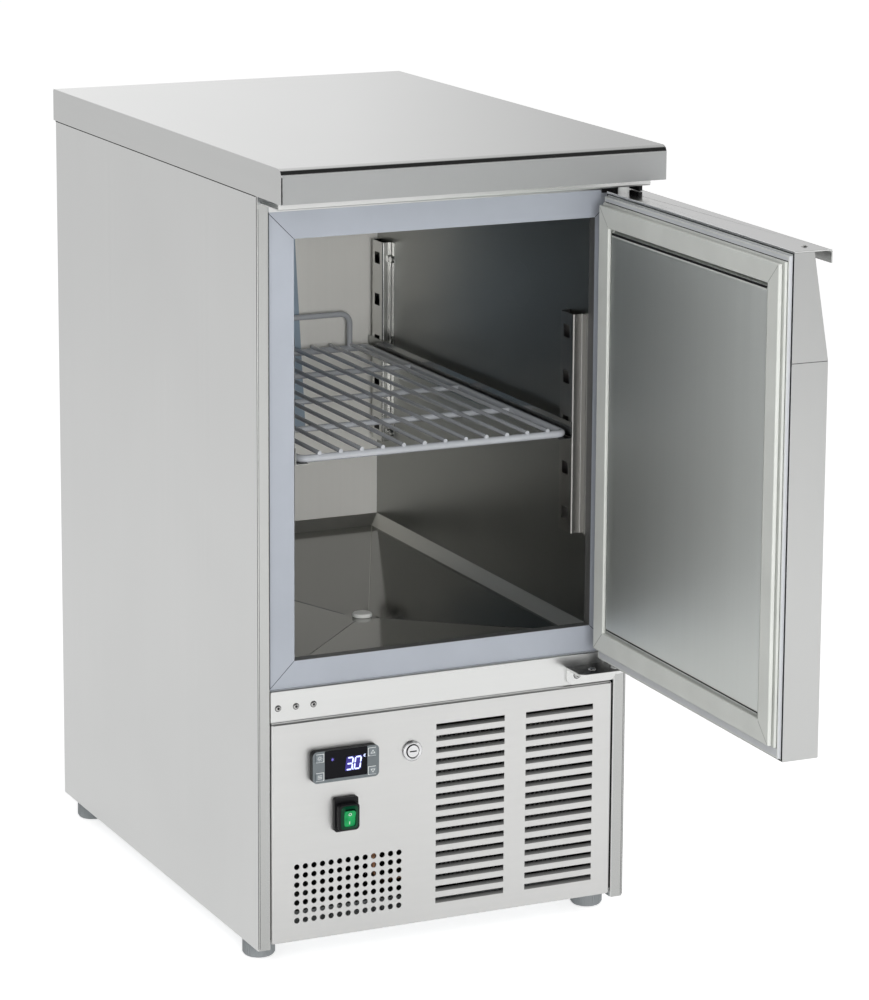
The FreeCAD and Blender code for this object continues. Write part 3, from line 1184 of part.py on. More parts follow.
def discharge_stub():
    """Start and end of the pipe stub on the compressor's left."""
    start = V(COMPRESSOR_X, COMPRESSOR_Y, Z_TRAY + DISCHARGE_LIFT)
    return start, start - AX_X * (COMPRESSOR_RADIUS + 3 * PIPE_RADIUS)


def suction_stub():
    """Start and end of the pipe stub at the compressor's back."""
    start = V(COMPRESSOR_X, COMPRESSOR_Y, Z_TRAY + SUCTION_LIFT)
    return start, start + AX_Y * (COMPRESSOR_RADIUS + 3 * PIPE_RADIUS)


def drier_ends():
    """Front and rear face of the filter drier."""
    front = V(FAN_X - CONDENSER_WIDTH / 2 - DRIER_ASIDE, Y_CONDENSER_BACK + 2 * PIPE_BEND,
              Z_TRAY + DRIER_LIFT)
    return front, front + AX_Y * DRIER_LENGTH


def filter_drier():
    """Copper filter drier, necked at both ends."""
    a, b = drier_ends()
    neck = DRIER_RADIUS
    body = rod(DRIER_RADIUS, a + AX_Y * neck, b - AX_Y * neck)
    cones = [Part.makeCone(PIPE_RADIUS, DRIER_RADIUS, neck, a, AX_Y),
             Part.makeCone(PIPE_RADIUS, DRIER_RADIUS, neck, b, -AX_Y)]
    return fused([body] + cones)


def evaporator_coil():
    """Serpentine evaporator tube behind the compartment's rear wall."""
    points = []
    for k in range(COIL_RUNS):
        z = COIL_LOW + k * COIL_PITCH
        ends = [V(-COIL_HALF, COIL_Y, z), V(COIL_HALF, COIL_Y, z)]
        points += ends if k % 2 == 0 else ends[::-1]
    return tube(points, PIPE_RADIUS, PIPE_BEND)


def refrigerant_lines():
    """Copper pipes: discharge, the liquid lines either side of the drier, the drier itself, and suction."""
    plate, middle = FAN_X - CONDENSER_WIDTH / 2, Y_CONDENSER + CONDENSER_DEPTH / 2
    side, high, low = plate - LINE_ASIDE, Z_TRAY + LINE_HIGH, Z_TRAY + LINE_LOW
    out, back = discharge_stub()[1], suction_stub()[1]
    a, b = drier_ends()
    discharge = [out, V(side, out.y, out.z), V(side, middle, out.z), V(side, middle, high),
                 V(plate, middle, high)]
    liquid = [V(plate, middle, low), V(a.x, middle, low), V(a.x, middle, a.z), a]
    feed = [b, V(b.x, COIL_Y, b.z), V(-RISER_X, COIL_Y, b.z), V(-RISER_X, COIL_Y, COIL_LOW),
            V(-COIL_HALF, COIL_Y, COIL_LOW)]
    suction = [V(COIL_HALF, COIL_Y, COIL_TOP), V(RISER_X, COIL_Y, COIL_TOP), V(RISER_X, COIL_Y, back.z),
               V(back.x, COIL_Y, back.z), back]
    pipes = [tube(p, PIPE_RADIUS, PIPE_BEND) for p in (discharge, liquid, feed, suction)]
    return Part.makeCompound(pipes + [filter_drier()])


def drip_basin():
    """Open basin on the base that takes the drain water."""
    x0 = DRAIN_X - BASIN_ASIDE
    x1, y0, y1 = x0 + BASIN_WIDTH, DRAIN_Y - BASIN_DEPTH / 2, DRAIN_Y + BASIN_DEPTH / 2
    w = BASIN_WALL
    return box(x0, x1, y0, y1, Z_TRAY, Z_TRAY + BASIN_HEIGHT).cut(
        box(x0 + w, x1 - w, y0 + w, y1 - w, Z_TRAY + w, Z_TRAY + 2 * BASIN_HEIGHT))


def evaporator_cover():
    """Moulded plate on the rear wall, drawn in towards the top, that carries the fan hood."""
    top = HOOD_Z + HOOD_HEIGHT / 2 + HOOD_BACK_EDGE
    left = HOOD_X - HOOD_WIDTH / 2 - HOOD_BACK_EDGE
    low, slant = top - HOOD_BACK_HEIGHT, HOOD_BACK_RIGHT - HOOD_BACK_DRAFT
    corners = [(left, low), (HOOD_BACK_RIGHT, low), (slant, top), (left, top)]
    return prism([V(x, Y_HOOD_BACK, z) for x, z in corners], AX_Y * HOOD_BACK_THICK)


def fan_hood():
    """Hood over the fan, with a ring guard in front and air slots below."""
    x0, x1 = HOOD_X - HOOD_WIDTH / 2, HOOD_X + HOOD_WIDTH / 2
    z0, z1 = HOOD_Z - HOOD_HEIGHT / 2, HOOD_Z + HOOD_HEIGHT / 2
    w, mouth = HOOD_WALL, INNER_FAN_RADIUS + INNER_FAN_GAP / 2

    def at(y):
        return V(HOOD_X, y, HOOD_Z)
    hood = box(x0, x1, Y_HOOD, Y_HOOD_BACK, z0, z1)
    cuts = [box(x0 + w, x1 - w, Y_HOOD + w, Y_HOOD_BACK + w, z0 + w, z1 - w),
            rod(mouth, at(Y_HOOD - w), at(Y_HOOD + w))]
    pitch = HOOD_WIDTH / (HOOD_SLOTS + 1)
    middle = (Y_HOOD + Y_HOOD_BACK) / 2
    for k in range(HOOD_SLOTS):
        x = x0 + pitch * (k + 1)
        cuts.append(box(x - HOOD_SLOT_WIDTH / 2, x + HOOD_SLOT_WIDTH / 2, middle - HOOD_SLOT_DEPTH / 2,
                        middle + HOOD_SLOT_DEPTH / 2, z0 - w, z0 + 2 * w))
    for cut in cuts:
        hood = hood.cut(cut)
    return fused([hood] + fan_guard(mouth))


def fan_guard(mouth):
    """Rings and spokes across the fan's opening."""
    def ring(radius):
        middle = V(HOOD_X, Y_HOOD, HOOD_Z)
        return rod(radius, middle, middle + AX_Y * HOOD_WALL)
    step = mouth / (GUARD_RINGS + 1)
    guard = [ring(step * (k + 1) + GUARD_RING / 2).cut(ring(step * (k + 1) - GUARD_RING / 2))
             for k in range(GUARD_RINGS)]
    for k in range(GUARD_SPOKES):
        spoke = box(HOOD_X - GUARD_RING / 2, HOOD_X + GUARD_RING / 2, Y_HOOD, Y_HOOD + HOOD_WALL,
                    HOOD_Z, HOOD_Z + mouth + HOOD_WALL)
        spoke.rotate(V(HOOD_X, 0, HOOD_Z), AX_Y, 360.0 * k / GUARD_SPOKES)
        guard.append(spoke)
    return guard


def evaporator_fan_motor():
    """Small fan motor on the cover's back plate."""
    start = V(HOOD_X, Y_INNER_MOTOR, HOOD_Z)
    back = V(HOOD_X, Y_HOOD_BACK, HOOD_Z)
    motor = rod(INNER_MOTOR_RADIUS, start, back)
    return motor.cut(rod(SHAFT_RADIUS + SHAFT_FIT, start - AX_Y * SHEET, start + (back - start) * 0.7))


def evaporator_fan():
    """Fan wheel that moves the cold air."""
    return fan_rotor(V(HOOD_X, Y_INNER_FAN, HOOD_Z), INNER_FAN_HUB, INNER_FAN_RADIUS, INNER_FAN_DEPTH,
                     (Y_INNER_MOTOR + Y_HOOD_BACK) / 2)


def cable_gland():
    """Cable gland through the back, left without its cable."""
    def at(y):
        return V(GLAND_X, y, GLAND_Z)
    inner = Y_BACK_SHEET
    body = fused([rod(GLAND_RADIUS, at(inner - GLAND_PROUD), at(Y_BACK_SHEET + SHEET + GLAND_PROUD)),
                  rod(GLAND_NUT, at(inner - GLAND_PROUD / 2), at(inner)),
                  rod(GLAND_NUT, at(inner + SHEET), at(inner + SHEET + GLAND_PROUD / 2))])
    return body.cut(rod(GLAND_BORE, at(inner - 2 * GLAND_PROUD), at(inner + 3 * GLAND_PROUD)))


def all_nodes():
    """Every named piece of the prep table."""
    nodes = {f.__name__: f() for f in (
        worktop_shell, worktop_core, left_side_panel, rear_panel, top_rail, middle_rail, insulation_foam,
        liner_left, liner_rear, liner_ceiling, liner_floor, drain_pipe, drain_plug, wire_shelf,
        door_skin, door_foam, door_liner, door_grip, door_retainer, door_gasket, hinge_bushes,
        lower_hinge_bracket, control_panel, controller, lock_body, lock_barrel, rocker_frame, rocker_switch,
        base_tray, condenser_coil, condenser_fan, condenser_fan_motor, compressor, evaporator_coil,
        refrigerant_lines, drip_basin, evaporator_cover, fan_hood, evaporator_fan_motor, evaporator_fan,
        cable_gland)}
    nodes["right_side_panel"] = mirrored(nodes["left_side_panel"])
    nodes["liner_right"] = mirrored(nodes["liner_left"])
    nodes["pivot_pins"] = Part.makeCompound(hinge_pins() + panel_pivots())
    for name in ("left", "right", "top", "bottom"):
        nodes["breaker_" + name] = breaker(name)
    nodes["uprights_right"] = Part.makeCompound([right_upright(y) for y in Y_UPRIGHTS] + right_studs())
    nodes["uprights_left"] = mirrored(nodes["uprights_right"])
    nodes["runner_right"] = right_runner()
    nodes["runner_left"] = mirrored(nodes["runner_right"])
    for name in button_places():
        nodes[name] = button(name)
    for name in foot_places():
        nodes[name] = foot(name)
    return nodes


os.makedirs("parts", exist_ok=True)
for node, shape in all_nodes().items():
    shape.exportStep("parts/" + node + ".step")
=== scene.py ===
import math

import bmesh
import bpy
from mathutils import Matrix, Vector
from mathutils.bvhtree import BVHTree

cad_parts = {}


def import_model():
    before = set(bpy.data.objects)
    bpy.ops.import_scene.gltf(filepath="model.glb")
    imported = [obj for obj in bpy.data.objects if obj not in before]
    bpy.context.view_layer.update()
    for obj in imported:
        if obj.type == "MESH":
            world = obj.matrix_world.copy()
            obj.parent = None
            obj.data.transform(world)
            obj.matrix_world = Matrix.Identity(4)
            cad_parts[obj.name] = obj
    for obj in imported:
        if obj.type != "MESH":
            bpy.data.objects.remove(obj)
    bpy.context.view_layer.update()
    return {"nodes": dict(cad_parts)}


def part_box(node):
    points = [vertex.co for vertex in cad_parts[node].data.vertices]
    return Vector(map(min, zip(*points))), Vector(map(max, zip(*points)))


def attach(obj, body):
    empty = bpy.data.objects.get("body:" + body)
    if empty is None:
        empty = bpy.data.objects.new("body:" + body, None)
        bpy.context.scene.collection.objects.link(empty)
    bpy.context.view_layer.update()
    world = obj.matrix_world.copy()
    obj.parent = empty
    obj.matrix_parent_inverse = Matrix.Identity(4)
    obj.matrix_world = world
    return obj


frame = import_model()
nodes = frame["nodes"]

MM = 0.001


def box(node):
    """A node's lowest and highest corners, in millimetres."""
    lo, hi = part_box(node)
    return lo / MM, hi / MM


def middle_of(node):
    """The middle of a node seen from the front, as (x, z) in millimetres."""
    lo, hi = box(node)
    return (lo.x + hi.x) / 2, (lo.z + hi.z) / 2


# Camera of the photo: place in metres, angles in radians, lens and sensor in millimetres
CAMERA_PLACE = (-1.69154, -3.82351, 1.43653)
CAMERA_YAW = 0.44029
CAMERA_PITCH = -0.19766
CAMERA_ROLL = 0.00592
CAMERA_LENS = 138.76
CAMERA_SENSOR = 36.0
CAMERA_SHIFT = -0.15
CAMERA_REACH = 100.0

# Lamps: name, place, target, side and power, in metres and watts
LAMPS = (
    ("key_lamp", (-2.6, -3.2, 3.0), (0.0, -0.1, 0.5), 2.4, 48.0),
    ("fill_lamp", (2.8, -2.2, 2.4), (0.0, -0.1, 0.5), 2.4, 32.0),
    ("front_lamp", (-0.9, -4.2, 0.95), (0.0, 0.0, 0.5), 1.4, 84.0),
)

# Floor and world: sizes in metres, light as a share of white, tones by (position, tone)
FLOOR_HALF = 30.0
FLOOR_DROP = 0.0005
FLOOR_TONE = 0.75
FLOOR_SEEN = 0.65
FLOOR_MIRRORED = 0.35
WORLD_LEVEL = 0.6
REAR_TONES = ((0.33, 1.0), (0.40, 0.88), (0.46, 0.60), (0.56, 0.50), (0.75, 0.90))
FRONT_TONES = ((0.20, 1.0), (0.40, 0.03))
TURN_HALF = 0.12

# Faces along the depth; these and all sizes and places below are in millimetres
WORKTOP_FACE = box("worktop_shell")[0].y
RAIL_FACE = box("middle_rail")[0].y
FRAME_FACE = box("breaker_left")[0].y
PANEL_FACE = box("control_panel")[0].y
CONTROL_FACE = box("controller")[0].y
COLLAR_FACE = box("rocker_frame")[0].y
WINDOW_FACE = CONTROL_FACE - 0.1
HINGE_FACE = RAIL_FACE - 3.0

# Thickness of prints and lines, and how far a line stands proud
PRINT = 0.12
LINE = 0.2
LINE_RISE = 0.06

# Display of the controller
CONTROL = middle_of("controller")
WINDOW = (CONTROL[0], CONTROL[1] + 1.7)
WINDOW_SIZE = (49.0, 31.0)
WINDOW_CORNER = 0.8
GLASS = 0.8
SEGMENTS = {"3": "abcdg", "0": "abcdef"}
DIGIT = (6.4, 12.8)
DIGIT_LINE = 1.5
DIGIT_GAP = 0.3
DIGIT_PLACES = (("3", (-114.6, 215.4)), ("0", (-105.4, 215.5)))
SLANT = 0.14
POINT = (-110.0, 215.4)
POINT_RADIUS = 0.75
DEGREE = (-97.2, 222.4)
DEGREE_RADII = (1.5, 0.8)
DEGREE_ARC = (50, 310)
HALO_RIM = 1.3
HALO_CORNER = 1.6
HALO_RISE = 0.05
STAR = (-134.3, 222.2)
STAR_REACH = 1.7
STAR_LINE = 0.5
STAR_SINK = 0.02
STAR_STEP = 0.01

# Printed brackets and signs of the keys; an arrow is (half width, foot, tip)
BRACKET_LINE = 0.7
BRACKET_MARGIN = 0.6
BRACKET_SIDE = 1.0
BRACKET_END = 0.4
BULB_RADII = (1.5, 1.05)
RAY_SPAN = (2.0, 2.8)
RAY_LINE = 0.4
MENU_HALF = 2.4
MENU_STEP = 1.6
MENU_LINE = 0.55
ARROW_OUTER = (2.7, 1.7, 2.4)
ARROW_INNER = (1.7, 1.1, 1.4)

# Rocker and lock; a rounded outline is (half width, half height, corner)
COLLAR = (-116.6, 157.7)
BOOT_OUTER = (9.9, 12.6, 4.2)
BOOT_INNER = (6.75, 9.6, 3.2)
BOOT_RISE = 0.3
BOOT_CREST = 1.7
BOOT_WALL = 1.2
ROCKER_RING = 4.8
ROCKER_RING_RADII = (1.8, 1.15)
ROCKER_BAR = (-6.4, -3.2)
ROCKER_BAR_LINE = 0.8
LOCK = (-38.6, 217.5)
LOCK_RADII = (7.4, 6.6)
LOCK_RING_DEPTH = 0.5
SLIT = (3.8, 0.62, 0.3)
SLIT_SINK = 0.15
SLIT_DEPTH = 0.6

# Screws: name, body, places, the way the heads look, radius and rise
FORWARD = (0, -1, 0)
UP = (0, 0, 1)
HINGE_TOP = box("lower_hinge_bracket")[1].z
GRIP_TOP = box("door_grip")[1].z
SCREWS = (
    ("rail_screws", "cabinet", [(x, RAIL_FACE, 282.8) for x in (-192.9, -172.6, -152.7)], FORWARD, 3.1, 1.4),
    ("hinge_screws", "cabinet", [(x, HINGE_FACE, 279.0) for x in (155.2, 190.0)], FORWARD, 3.8, 2.0),
    ("hinge_stud", "cabinet", [(164.0, -286.5, HINGE_TOP)], UP, 4.2, 1.8),
    ("grip_screw", "door", [(192.6, -660.0, GRIP_TOP)], UP, 3.0, 1.2),
)
SCREW_FOOT = -0.2

# Lines, trim, painted shade and painted highlights of the cabinet, by spans across and up; those with two
# sides are drawn on the right
SIDES = ((-1, "left"), (1, "right"))
WORKTOP_SEAM = ((-217.3, -215.9), (824.8, 851.5))
WORKTOP_SEAM_DEPTH = 0.3
# Painted shadow under the worktop's rim, on the side panels
SIDE_SHADOW = 0.15
SIDE_SHADOW_HEIGHT = 1.6
SIDE_SHADOW_INSET = 1.0
# Painted shade in the gaps beside the control panel
PANEL_GAP_SHADE = ((200.55, 201.4), (30.0, 264.0))
PANEL_GAP_SHADE_SINK = 1.5
PANEL_GAP_SHADE_DEPTH = 6.0
PANEL_LIP = (-199.8, 142.0)
PANEL_LIP_SLANT = 2.0
PANEL_LIP_HEIGHT = 0.6
PANEL_LIP_SINK = 0.3
PANEL_LIP_DEPTH = 2.4
# Dark lines on a front flange: the first two are painted dark reflections on its bend, the last a dark joint
# beside the frame
FLANGE_LINES = (
    ((215.3, 215.7), (22.0, 823.0)),
    ((213.4, 213.8), (22.0, 810.0)),
    ((201.6, 202.2), (304.0, 806.0)),
)
CORNER_CAP = (201.7, 214.2)
CORNER_CAP_MARGIN = 0.4
CORNER_CAP_SINK = 0.1
CORNER_CAP_DEPTH = 0.6
# Painted shade behind and beside the upper door pin: (span across, span up, front, depth)
HINGE_SHADE = (
    ((178.0, 210.0), (802.6, 814.8), -268.0, 1.9),
    ((206.0, 210.0), (807.0, 814.8), -297.0, 28.5),
)
FLOOR_RIM = 12.0
FLOOR_FOLD = (10.0, 1.0)
FOLD_HALF = 0.5
FOLD_RISE = 0.3
DRAIN = (-5.0, -60.0)
DRAIN_REACH = 15.0
WALL_MARK = (-86.0, 674.0)
WALL_RING = ((23.8, -0.1), (23.8, 0.06), (24.3, 0.12), (24.9, 0.12), (25.4, 0.06), (25.4, -0.1), (23.8, -0.1))

# Rectangles of the frame and, on the closed door, of the door: (half width, low, top)
FRAME_OUTER = (201.0, 302.6, 804.4)
FRAME_INNER = (173.0, 330.6, 776.4)
FRAME_MITRE = 0.55
DOOR_GAP = ((199.0, 298.0, 804.0), (197.1, 298.9, 803.2))
DOOR_GAP_DEPTH = 0.4
# Painted highlight along the retainer's outer edge
RETAINER_HIGHLIGHT = ((196.4, 300.6, 801.4), (195.3, 301.7, 800.3))
RETAINER_HIGHLIGHT_DEPTH = 0.35
GASKET_GROOVE = ((195.1, 310.4, 796.6), (194.3, 311.2, 795.8))
GASKET_GROOVE_DEPTH = 0.3
GASKET_OUTER = (191.1, 314.4, 792.6)
GASKET_INNER = (171.9, 333.6, 773.4)
GASKET_MITRE = 0.7
GASKET_MITRE_DEPTH = 0.18
PAN = (167.8, 337.4, 769.6)
PAN_SLANT = 1.0
PAN_CORNERS = (3.0, 4.0)
# Painted shade under the gasket's inner edge, and a painted highlight on the rim of the raised middle, as
# bands up
PAN_SHADE_LINE = ((339.0, 340.6), (765.6, 768.2))
PAN_SHADE_LINE_RISE = 0.15
PAN_RIM_HIGHLIGHT = ((340.8, 341.6), (764.3, 765.4))
PAN_RIM_HIGHLIGHT_RISE = 0.10
PAN_LINE_INSET = 1.6
PAN_LINE = 0.35

# Faces of the closed door, and where it stands: its pivot as (x, y) and its angle in degrees
DOOR_INNER = -276.0
DOOR_GAP_FACE = DOOR_INNER - 0.2
RETAINER_FACE = -272.2
PAN_FACE = -265.5
GASKET_FACE = -263.3
DOOR_PIVOT = (191.0, -291.0)
DOOR_ANGLE = 89.0


# Tools for materials

def grey(tone):
    """A tone as a colour."""
    return (tone,) * 3


def shade(colour, share):
    """The same colour, lighter or darker."""
    return tuple(min(1.0, c * share) for c in colour)


def shader(name, colour, roughness, metallic=0.0):
    """A new material with its principled shader set up."""
    mat = bpy.data.materials.new(name)
    mat.use_nodes = True
    bsdf = mat.node_tree.nodes["Principled BSDF"]
    bsdf.inputs["Base Color"].default_value = (*colour, 1.0)
    bsdf.inputs["Roughness"].default_value = roughness
    bsdf.inputs["Metallic"].default_value = metallic
    return mat, mat.node_tree, bsdf


def noise(tree, scale, detail=3.0, roughness=0.55, distortion=0.0):
    """Noise in the part's own coordinates; scale is per metre along X, Y and Z."""
    place = tree.nodes.new("ShaderNodeTexCoord")
    mapping = tree.nodes.new("ShaderNodeMapping")
    mapping.inputs["Scale"].default_value = scale
    texture = tree.nodes.new("ShaderNodeTexNoise")
    texture.inputs["Scale"].default_value = 1.0
    texture.inputs["Detail"].default_value = detail
    texture.inputs["Roughness"].default_value = roughness
    texture.inputs["Distortion"].default_value = distortion
    tree.links.new(place.outputs["Object"], mapping.inputs["Vector"])
    tree.links.new(mapping.outputs["Vector"], texture.inputs["Vector"])
    return texture.outputs["Fac"]


def grain(tree, along, slow, quick, detail):
    """Noise drawn out along one axis: slow along it and quick across it."""
    return noise(tree, [slow if k == along else quick for k in range(3)], detail)


def ramp(tree, fac, stops):
    """Colours along a factor: stops are (position, colour)."""
    node = tree.nodes.new("ShaderNodeValToRGB")
    while len(node.color_ramp.elements) < len(stops):
        node.color_ramp.elements.new(0.5)
    for element, (at, colour) in zip(node.color_ramp.elements, stops):
        element.position = at
        element.color = (*colour, 1.0)
    tree.links.new(fac, node.inputs["Fac"])
    return node.outputs["Color"]


def grey_ramp(tree, fac, stops):
    """Greys along a factor: stops are (position, tone)."""
    return ramp(tree, fac, [(at, grey(tone)) for at, tone in stops])


def drift(tree, fac, first, last, start=0.3, end=0.7):
    """A colour that drifts from one to another along a factor."""
    return ramp(tree, fac, [(start, first), (end, last)])


def mottled(tree, fac, colour, shift):
    """A colour that drifts to both sides of itself."""
    return drift(tree, fac, shade(colour, 1 - shift), shade(colour, 1 + shift))


def spread(tree, fac, low, high, start=0.3, end=0.7):
    """A factor stretched from low to high."""
    node = tree.nodes.new("ShaderNodeMapRange")
    node.inputs["From Min"].default_value = start
    node.inputs["From Max"].default_value = end
    node.inputs["To Min"].default_value = low
    node.inputs["To Max"].default_value = high
    tree.links.new(fac, node.inputs["Value"])
    return node.outputs["Result"]


def blended(tree, kind, factor, a, b):
    """Two colours mixed by one of the blend kinds; the factor is a number or another node's output."""
    node = tree.nodes.new("ShaderNodeMix")
    node.data_type = "RGBA"
    node.blend_type = kind
    if isinstance(factor, float):
        node.inputs["Factor"].default_value = factor
    else:
        tree.links.new(factor, node.inputs["Factor"])
    tree.links.new(a, node.inputs["A"])
    tree.links.new(b, node.inputs["B"])
    return node.outputs["Result"]


def bumped(tree, bsdf, height, strength, depth):
    """Relief from a height."""
    node = tree.nodes.new("ShaderNodeBump")
    node.inputs["Strength"].default_value = strength
    node.inputs["Distance"].default_value = depth
    tree.links.new(height, node.inputs["Height"])
    tree.links.new(node.outputs["Normal"], bsdf.inputs["Normal"])


def axis_of(tree, coordinates, axis):
    """One axis of a set of coordinates."""
    place = tree.nodes.new("ShaderNodeTexCoord")
    parts = tree.nodes.new("ShaderNodeSeparateXYZ")
    tree.links.new(place.outputs[coordinates], parts.inputs[0])
    return parts.outputs[axis]


def edge_of(node, axis, pick):
    """The least or greatest coordinate of a node, in its own coordinates."""
    return pick(v.co["XYZ".index(axis)] for v in nodes[node].data.vertices)


def zone(node, axis, pick, start, end):
    """Marks a stretch of a node next to one of its sides, by millimetres in from that side."""
    side, way = edge_of(node, axis, pick), MM if pick is min else -MM

    def share(tree):
        return spread(tree, axis_of(tree, "Object", axis), 0.0, 1.0, side + way * end, side + way * start)
    return share


def facing(direction, start, end):
    """Marks the faces of a part that look in a direction, by the cosine of the angle to it."""
    def share(tree):
        place = tree.nodes.new("ShaderNodeTexCoord")
        product = tree.nodes.new("ShaderNodeVectorMath")
        product.operation = "DOT_PRODUCT"
        product.inputs[1].default_value = Vector(direction).normalized()
        tree.links.new(place.outputs["Normal"], product.inputs[0])
        return spread(tree, product.outputs["Value"], 0.0, 1.0, start, end)
    return share


def combined(tree, kind, a, b):
    """Two factors put together: MAXIMUM or MULTIPLY."""
    node = tree.nodes.new("ShaderNodeMath")
    node.operation = kind
    tree.links.new(a, node.inputs[0])
    tree.links.new(b, node.inputs[1])
    return node.outputs[0]


def joined(kind, first, second):
    """Two marks as one: MAXIMUM for where either is, MULTIPLY for where both are."""
    def share(tree):
        return combined(tree, kind, first(tree), second(tree))
    return share


def zoned(tree, where, a, b):
    """One colour, and another where a part is marked."""
    return blended(tree, "MIX", where(tree), a, b)


# Materials

def brushed(name, colour, roughness, along, streak=0.010, cloud=0.03, metallic=1.0, where=None, other=None):
    """Satin stainless steel with its grain along one axis; a zone may have another (colour, roughness)."""
    mat, tree, bsdf = shader(name, colour, roughness, metallic)
    fine = grain(tree, along, 14.0, 1500.0, 2.0)
    wide = grain(tree, along, 1.6, 160.0, 3.0)
    soft = noise(tree, (4.0,) * 3, 2.0, 0.5, 0.4)
    clouds = drift(tree, soft, grey(1 - cloud), grey(1.0))
    tint = blended(tree, "MULTIPLY", 1.0, mottled(tree, wide, colour, streak), clouds)
    satin = drift(tree, wide, grey(roughness - 0.01), grey(roughness + 0.01))
    if where:
        colour, rough = other
        tint = zoned(tree, where, tint, drift(tree, soft, shade(colour, 1 - cloud), colour))
        satin = zoned(tree, where, satin, drift(tree, soft, grey(rough - 0.01), grey(rough + 0.01)))
    tree.links.new(tint, bsdf.inputs["Base Color"])
    tree.links.new(satin, bsdf.inputs["Roughness"])
    bumped(tree, bsdf, fine, 0.004, 0.0003)
    return mat


def moulded(name, colour, roughness, size=900.0, relief=0.15, shift=0.05, coat=0.0, gloss=0.5,
            where=None, other=None):
    """Moulded plastic with a fine texture and a little colour drift; a zone of it may have another colour."""
    mat, tree, bsdf = shader(name, colour, roughness)
    bsdf.inputs["Specular IOR Level"].default_value = gloss
    fine = noise(tree, (size,) * 3, 2.0)
    soft = noise(tree, (18.0,) * 3, 3.0)
    tint = mottled(tree, soft, colour, shift)
    if where:
        tint = zoned(tree, where, tint, mottled(tree, soft, other, shift))
    tree.links.new(tint, bsdf.inputs["Base Color"])
    tree.links.new(spread(tree, fine, roughness - 0.06, roughness + 0.06), bsdf.inputs["Roughness"])
    bumped(tree, bsdf, fine, relief, 0.0003)
    if coat:
        bsdf.inputs["Coat Weight"].default_value = coat
        bsdf.inputs["Coat Roughness"].default_value = 0.15
    return mat


def zinc(name, colour):
    """Galvanised sheet with its spangle."""
    mat, tree, bsdf = shader(name, colour, 0.45, 1.0)
    place = tree.nodes.new("ShaderNodeTexCoord")
    cells = tree.nodes.new("ShaderNodeTexVoronoi")
    cells.inputs["Scale"].default_value = 90.0
    tree.links.new(place.outputs["Object"], cells.inputs["Vector"])
    parts = tree.nodes.new("ShaderNodeSeparateColor")
    tree.links.new(cells.outputs["Color"], parts.inputs["Color"])
    tone = parts.outputs["Red"]
    tint = drift(tree, tone, shade(colour, 0.88), shade(colour, 1.08), 0.0, 1.0)
    tree.links.new(tint, bsdf.inputs["Base Color"])
    tree.links.new(spread(tree, tone, 0.36, 0.56, 0.0, 1.0), bsdf.inputs["Roughness"])
    bumped(tree, bsdf, noise(tree, (300.0,) * 3), 0.06, 0.0004)
    return mat


def foamed(name, colour):
    """Cut foam with open cells."""
    mat, tree, bsdf = shader(name, colour, 0.9)
    cells = noise(tree, (260.0,) * 3, 5.0, 0.7)
    tint = drift(tree, cells, shade(colour, 0.72), shade(colour, 1.08), 0.3, 0.65)
    tree.links.new(tint, bsdf.inputs["Base Color"])
    bumped(tree, bsdf, cells, 0.6, 0.001)
    return mat


def board(name, colour):
    """Raw board with its fibres along the depth."""
    mat, tree, bsdf = shader(name, colour, 0.8)
    fibres = noise(tree, (220.0, 12.0, 220.0), 4.0, 0.6, 0.3)
    tint = drift(tree, fibres, shade(colour, 0.7), shade(colour, 1.15))
    tree.links.new(tint, bsdf.inputs["Base Color"])
    bumped(tree, bsdf, fibres, 0.3, 0.0006)
    return mat


def drawn_metal(name, colour, roughness, tarnish, size=140.0):
    """Bare drawn or plated metal with patches of tarnish."""
    mat, tree, bsdf = shader(name, colour, roughness, 1.0)
    patches = noise(tree, (size,) * 3, 4.0, 0.6)
    tint = drift(tree, patches, shade(colour, 1 - tarnish), colour, 0.32, 0.6)
    tree.links.new(tint, bsdf.inputs["Base Color"])
    tree.links.new(spread(tree, patches, roughness + 0.1, roughness), bsdf.inputs["Roughness"])
    bumped(tree, bsdf, noise(tree, (1200.0,) * 3, 2.0), 0.05, 0.0002)
    return mat


def glowing(name, colour, light, strength):
    """A lit mark: soft variation in its glow."""
    mat, tree, bsdf = shader(name, colour, 0.4)
    bsdf.inputs["Emission Strength"].default_value = strength
    soft = noise(tree, (160.0,) * 3, 2.0)
    tree.links.new(drift(tree, soft, shade(light, 0.85), light), bsdf.inputs["Emission Color"])
    return mat


def green_lens():
    """Clear green plastic with a lamp behind it."""
    mat, tree, bsdf = shader("green_lens", (0.0, 0.24, 0.07), 0.2)
    bsdf.inputs["Specular IOR Level"].default_value = 0.15
    soft = noise(tree, (110.0, 90.0, 70.0), 2.0)
    tint = drift(tree, soft, (0.0, 0.16, 0.045), (0.01, 0.32, 0.085))
    tree.links.new(tint, bsdf.inputs["Base Color"])
    tree.links.new(tint, bsdf.inputs["Emission Color"])
    bsdf.inputs["Emission Strength"].default_value = 0.35
    bsdf.inputs["Coat Weight"].default_value = 0.3
    bumped(tree, bsdf, noise(tree, (400.0,) * 3, 2.0), 0.05, 0.0002)
    return mat


def controller_case():
    """Grey front foil on a black moulded case, whose black sides also stand for the shade on them: the foil
    is the foremost fifth of a millimetre.
    """
    foil, case = (0.155, 0.175, 0.185), (0.012, 0.013, 0.014)
    mat, tree, bsdf = shader("controller_case", foil, 0.42)
    bsdf.inputs["Specular IOR Level"].default_value = 0.25
    soft = noise(tree, (60.0,) * 3, 3.0)
    front = zone("controller", "Y", min, 0.1, 0.2)
    tint = zoned(tree, front, mottled(tree, soft, case, 0.1), mottled(tree, soft, foil, 0.05))
    tree.links.new(tint, bsdf.inputs["Base Color"])
    bumped(tree, bsdf, noise(tree, (900.0,) * 3, 2.0), 0.1, 0.0003)
    return mat


# Looks of the parts: colours, marked zones, and the nodes that wear each look

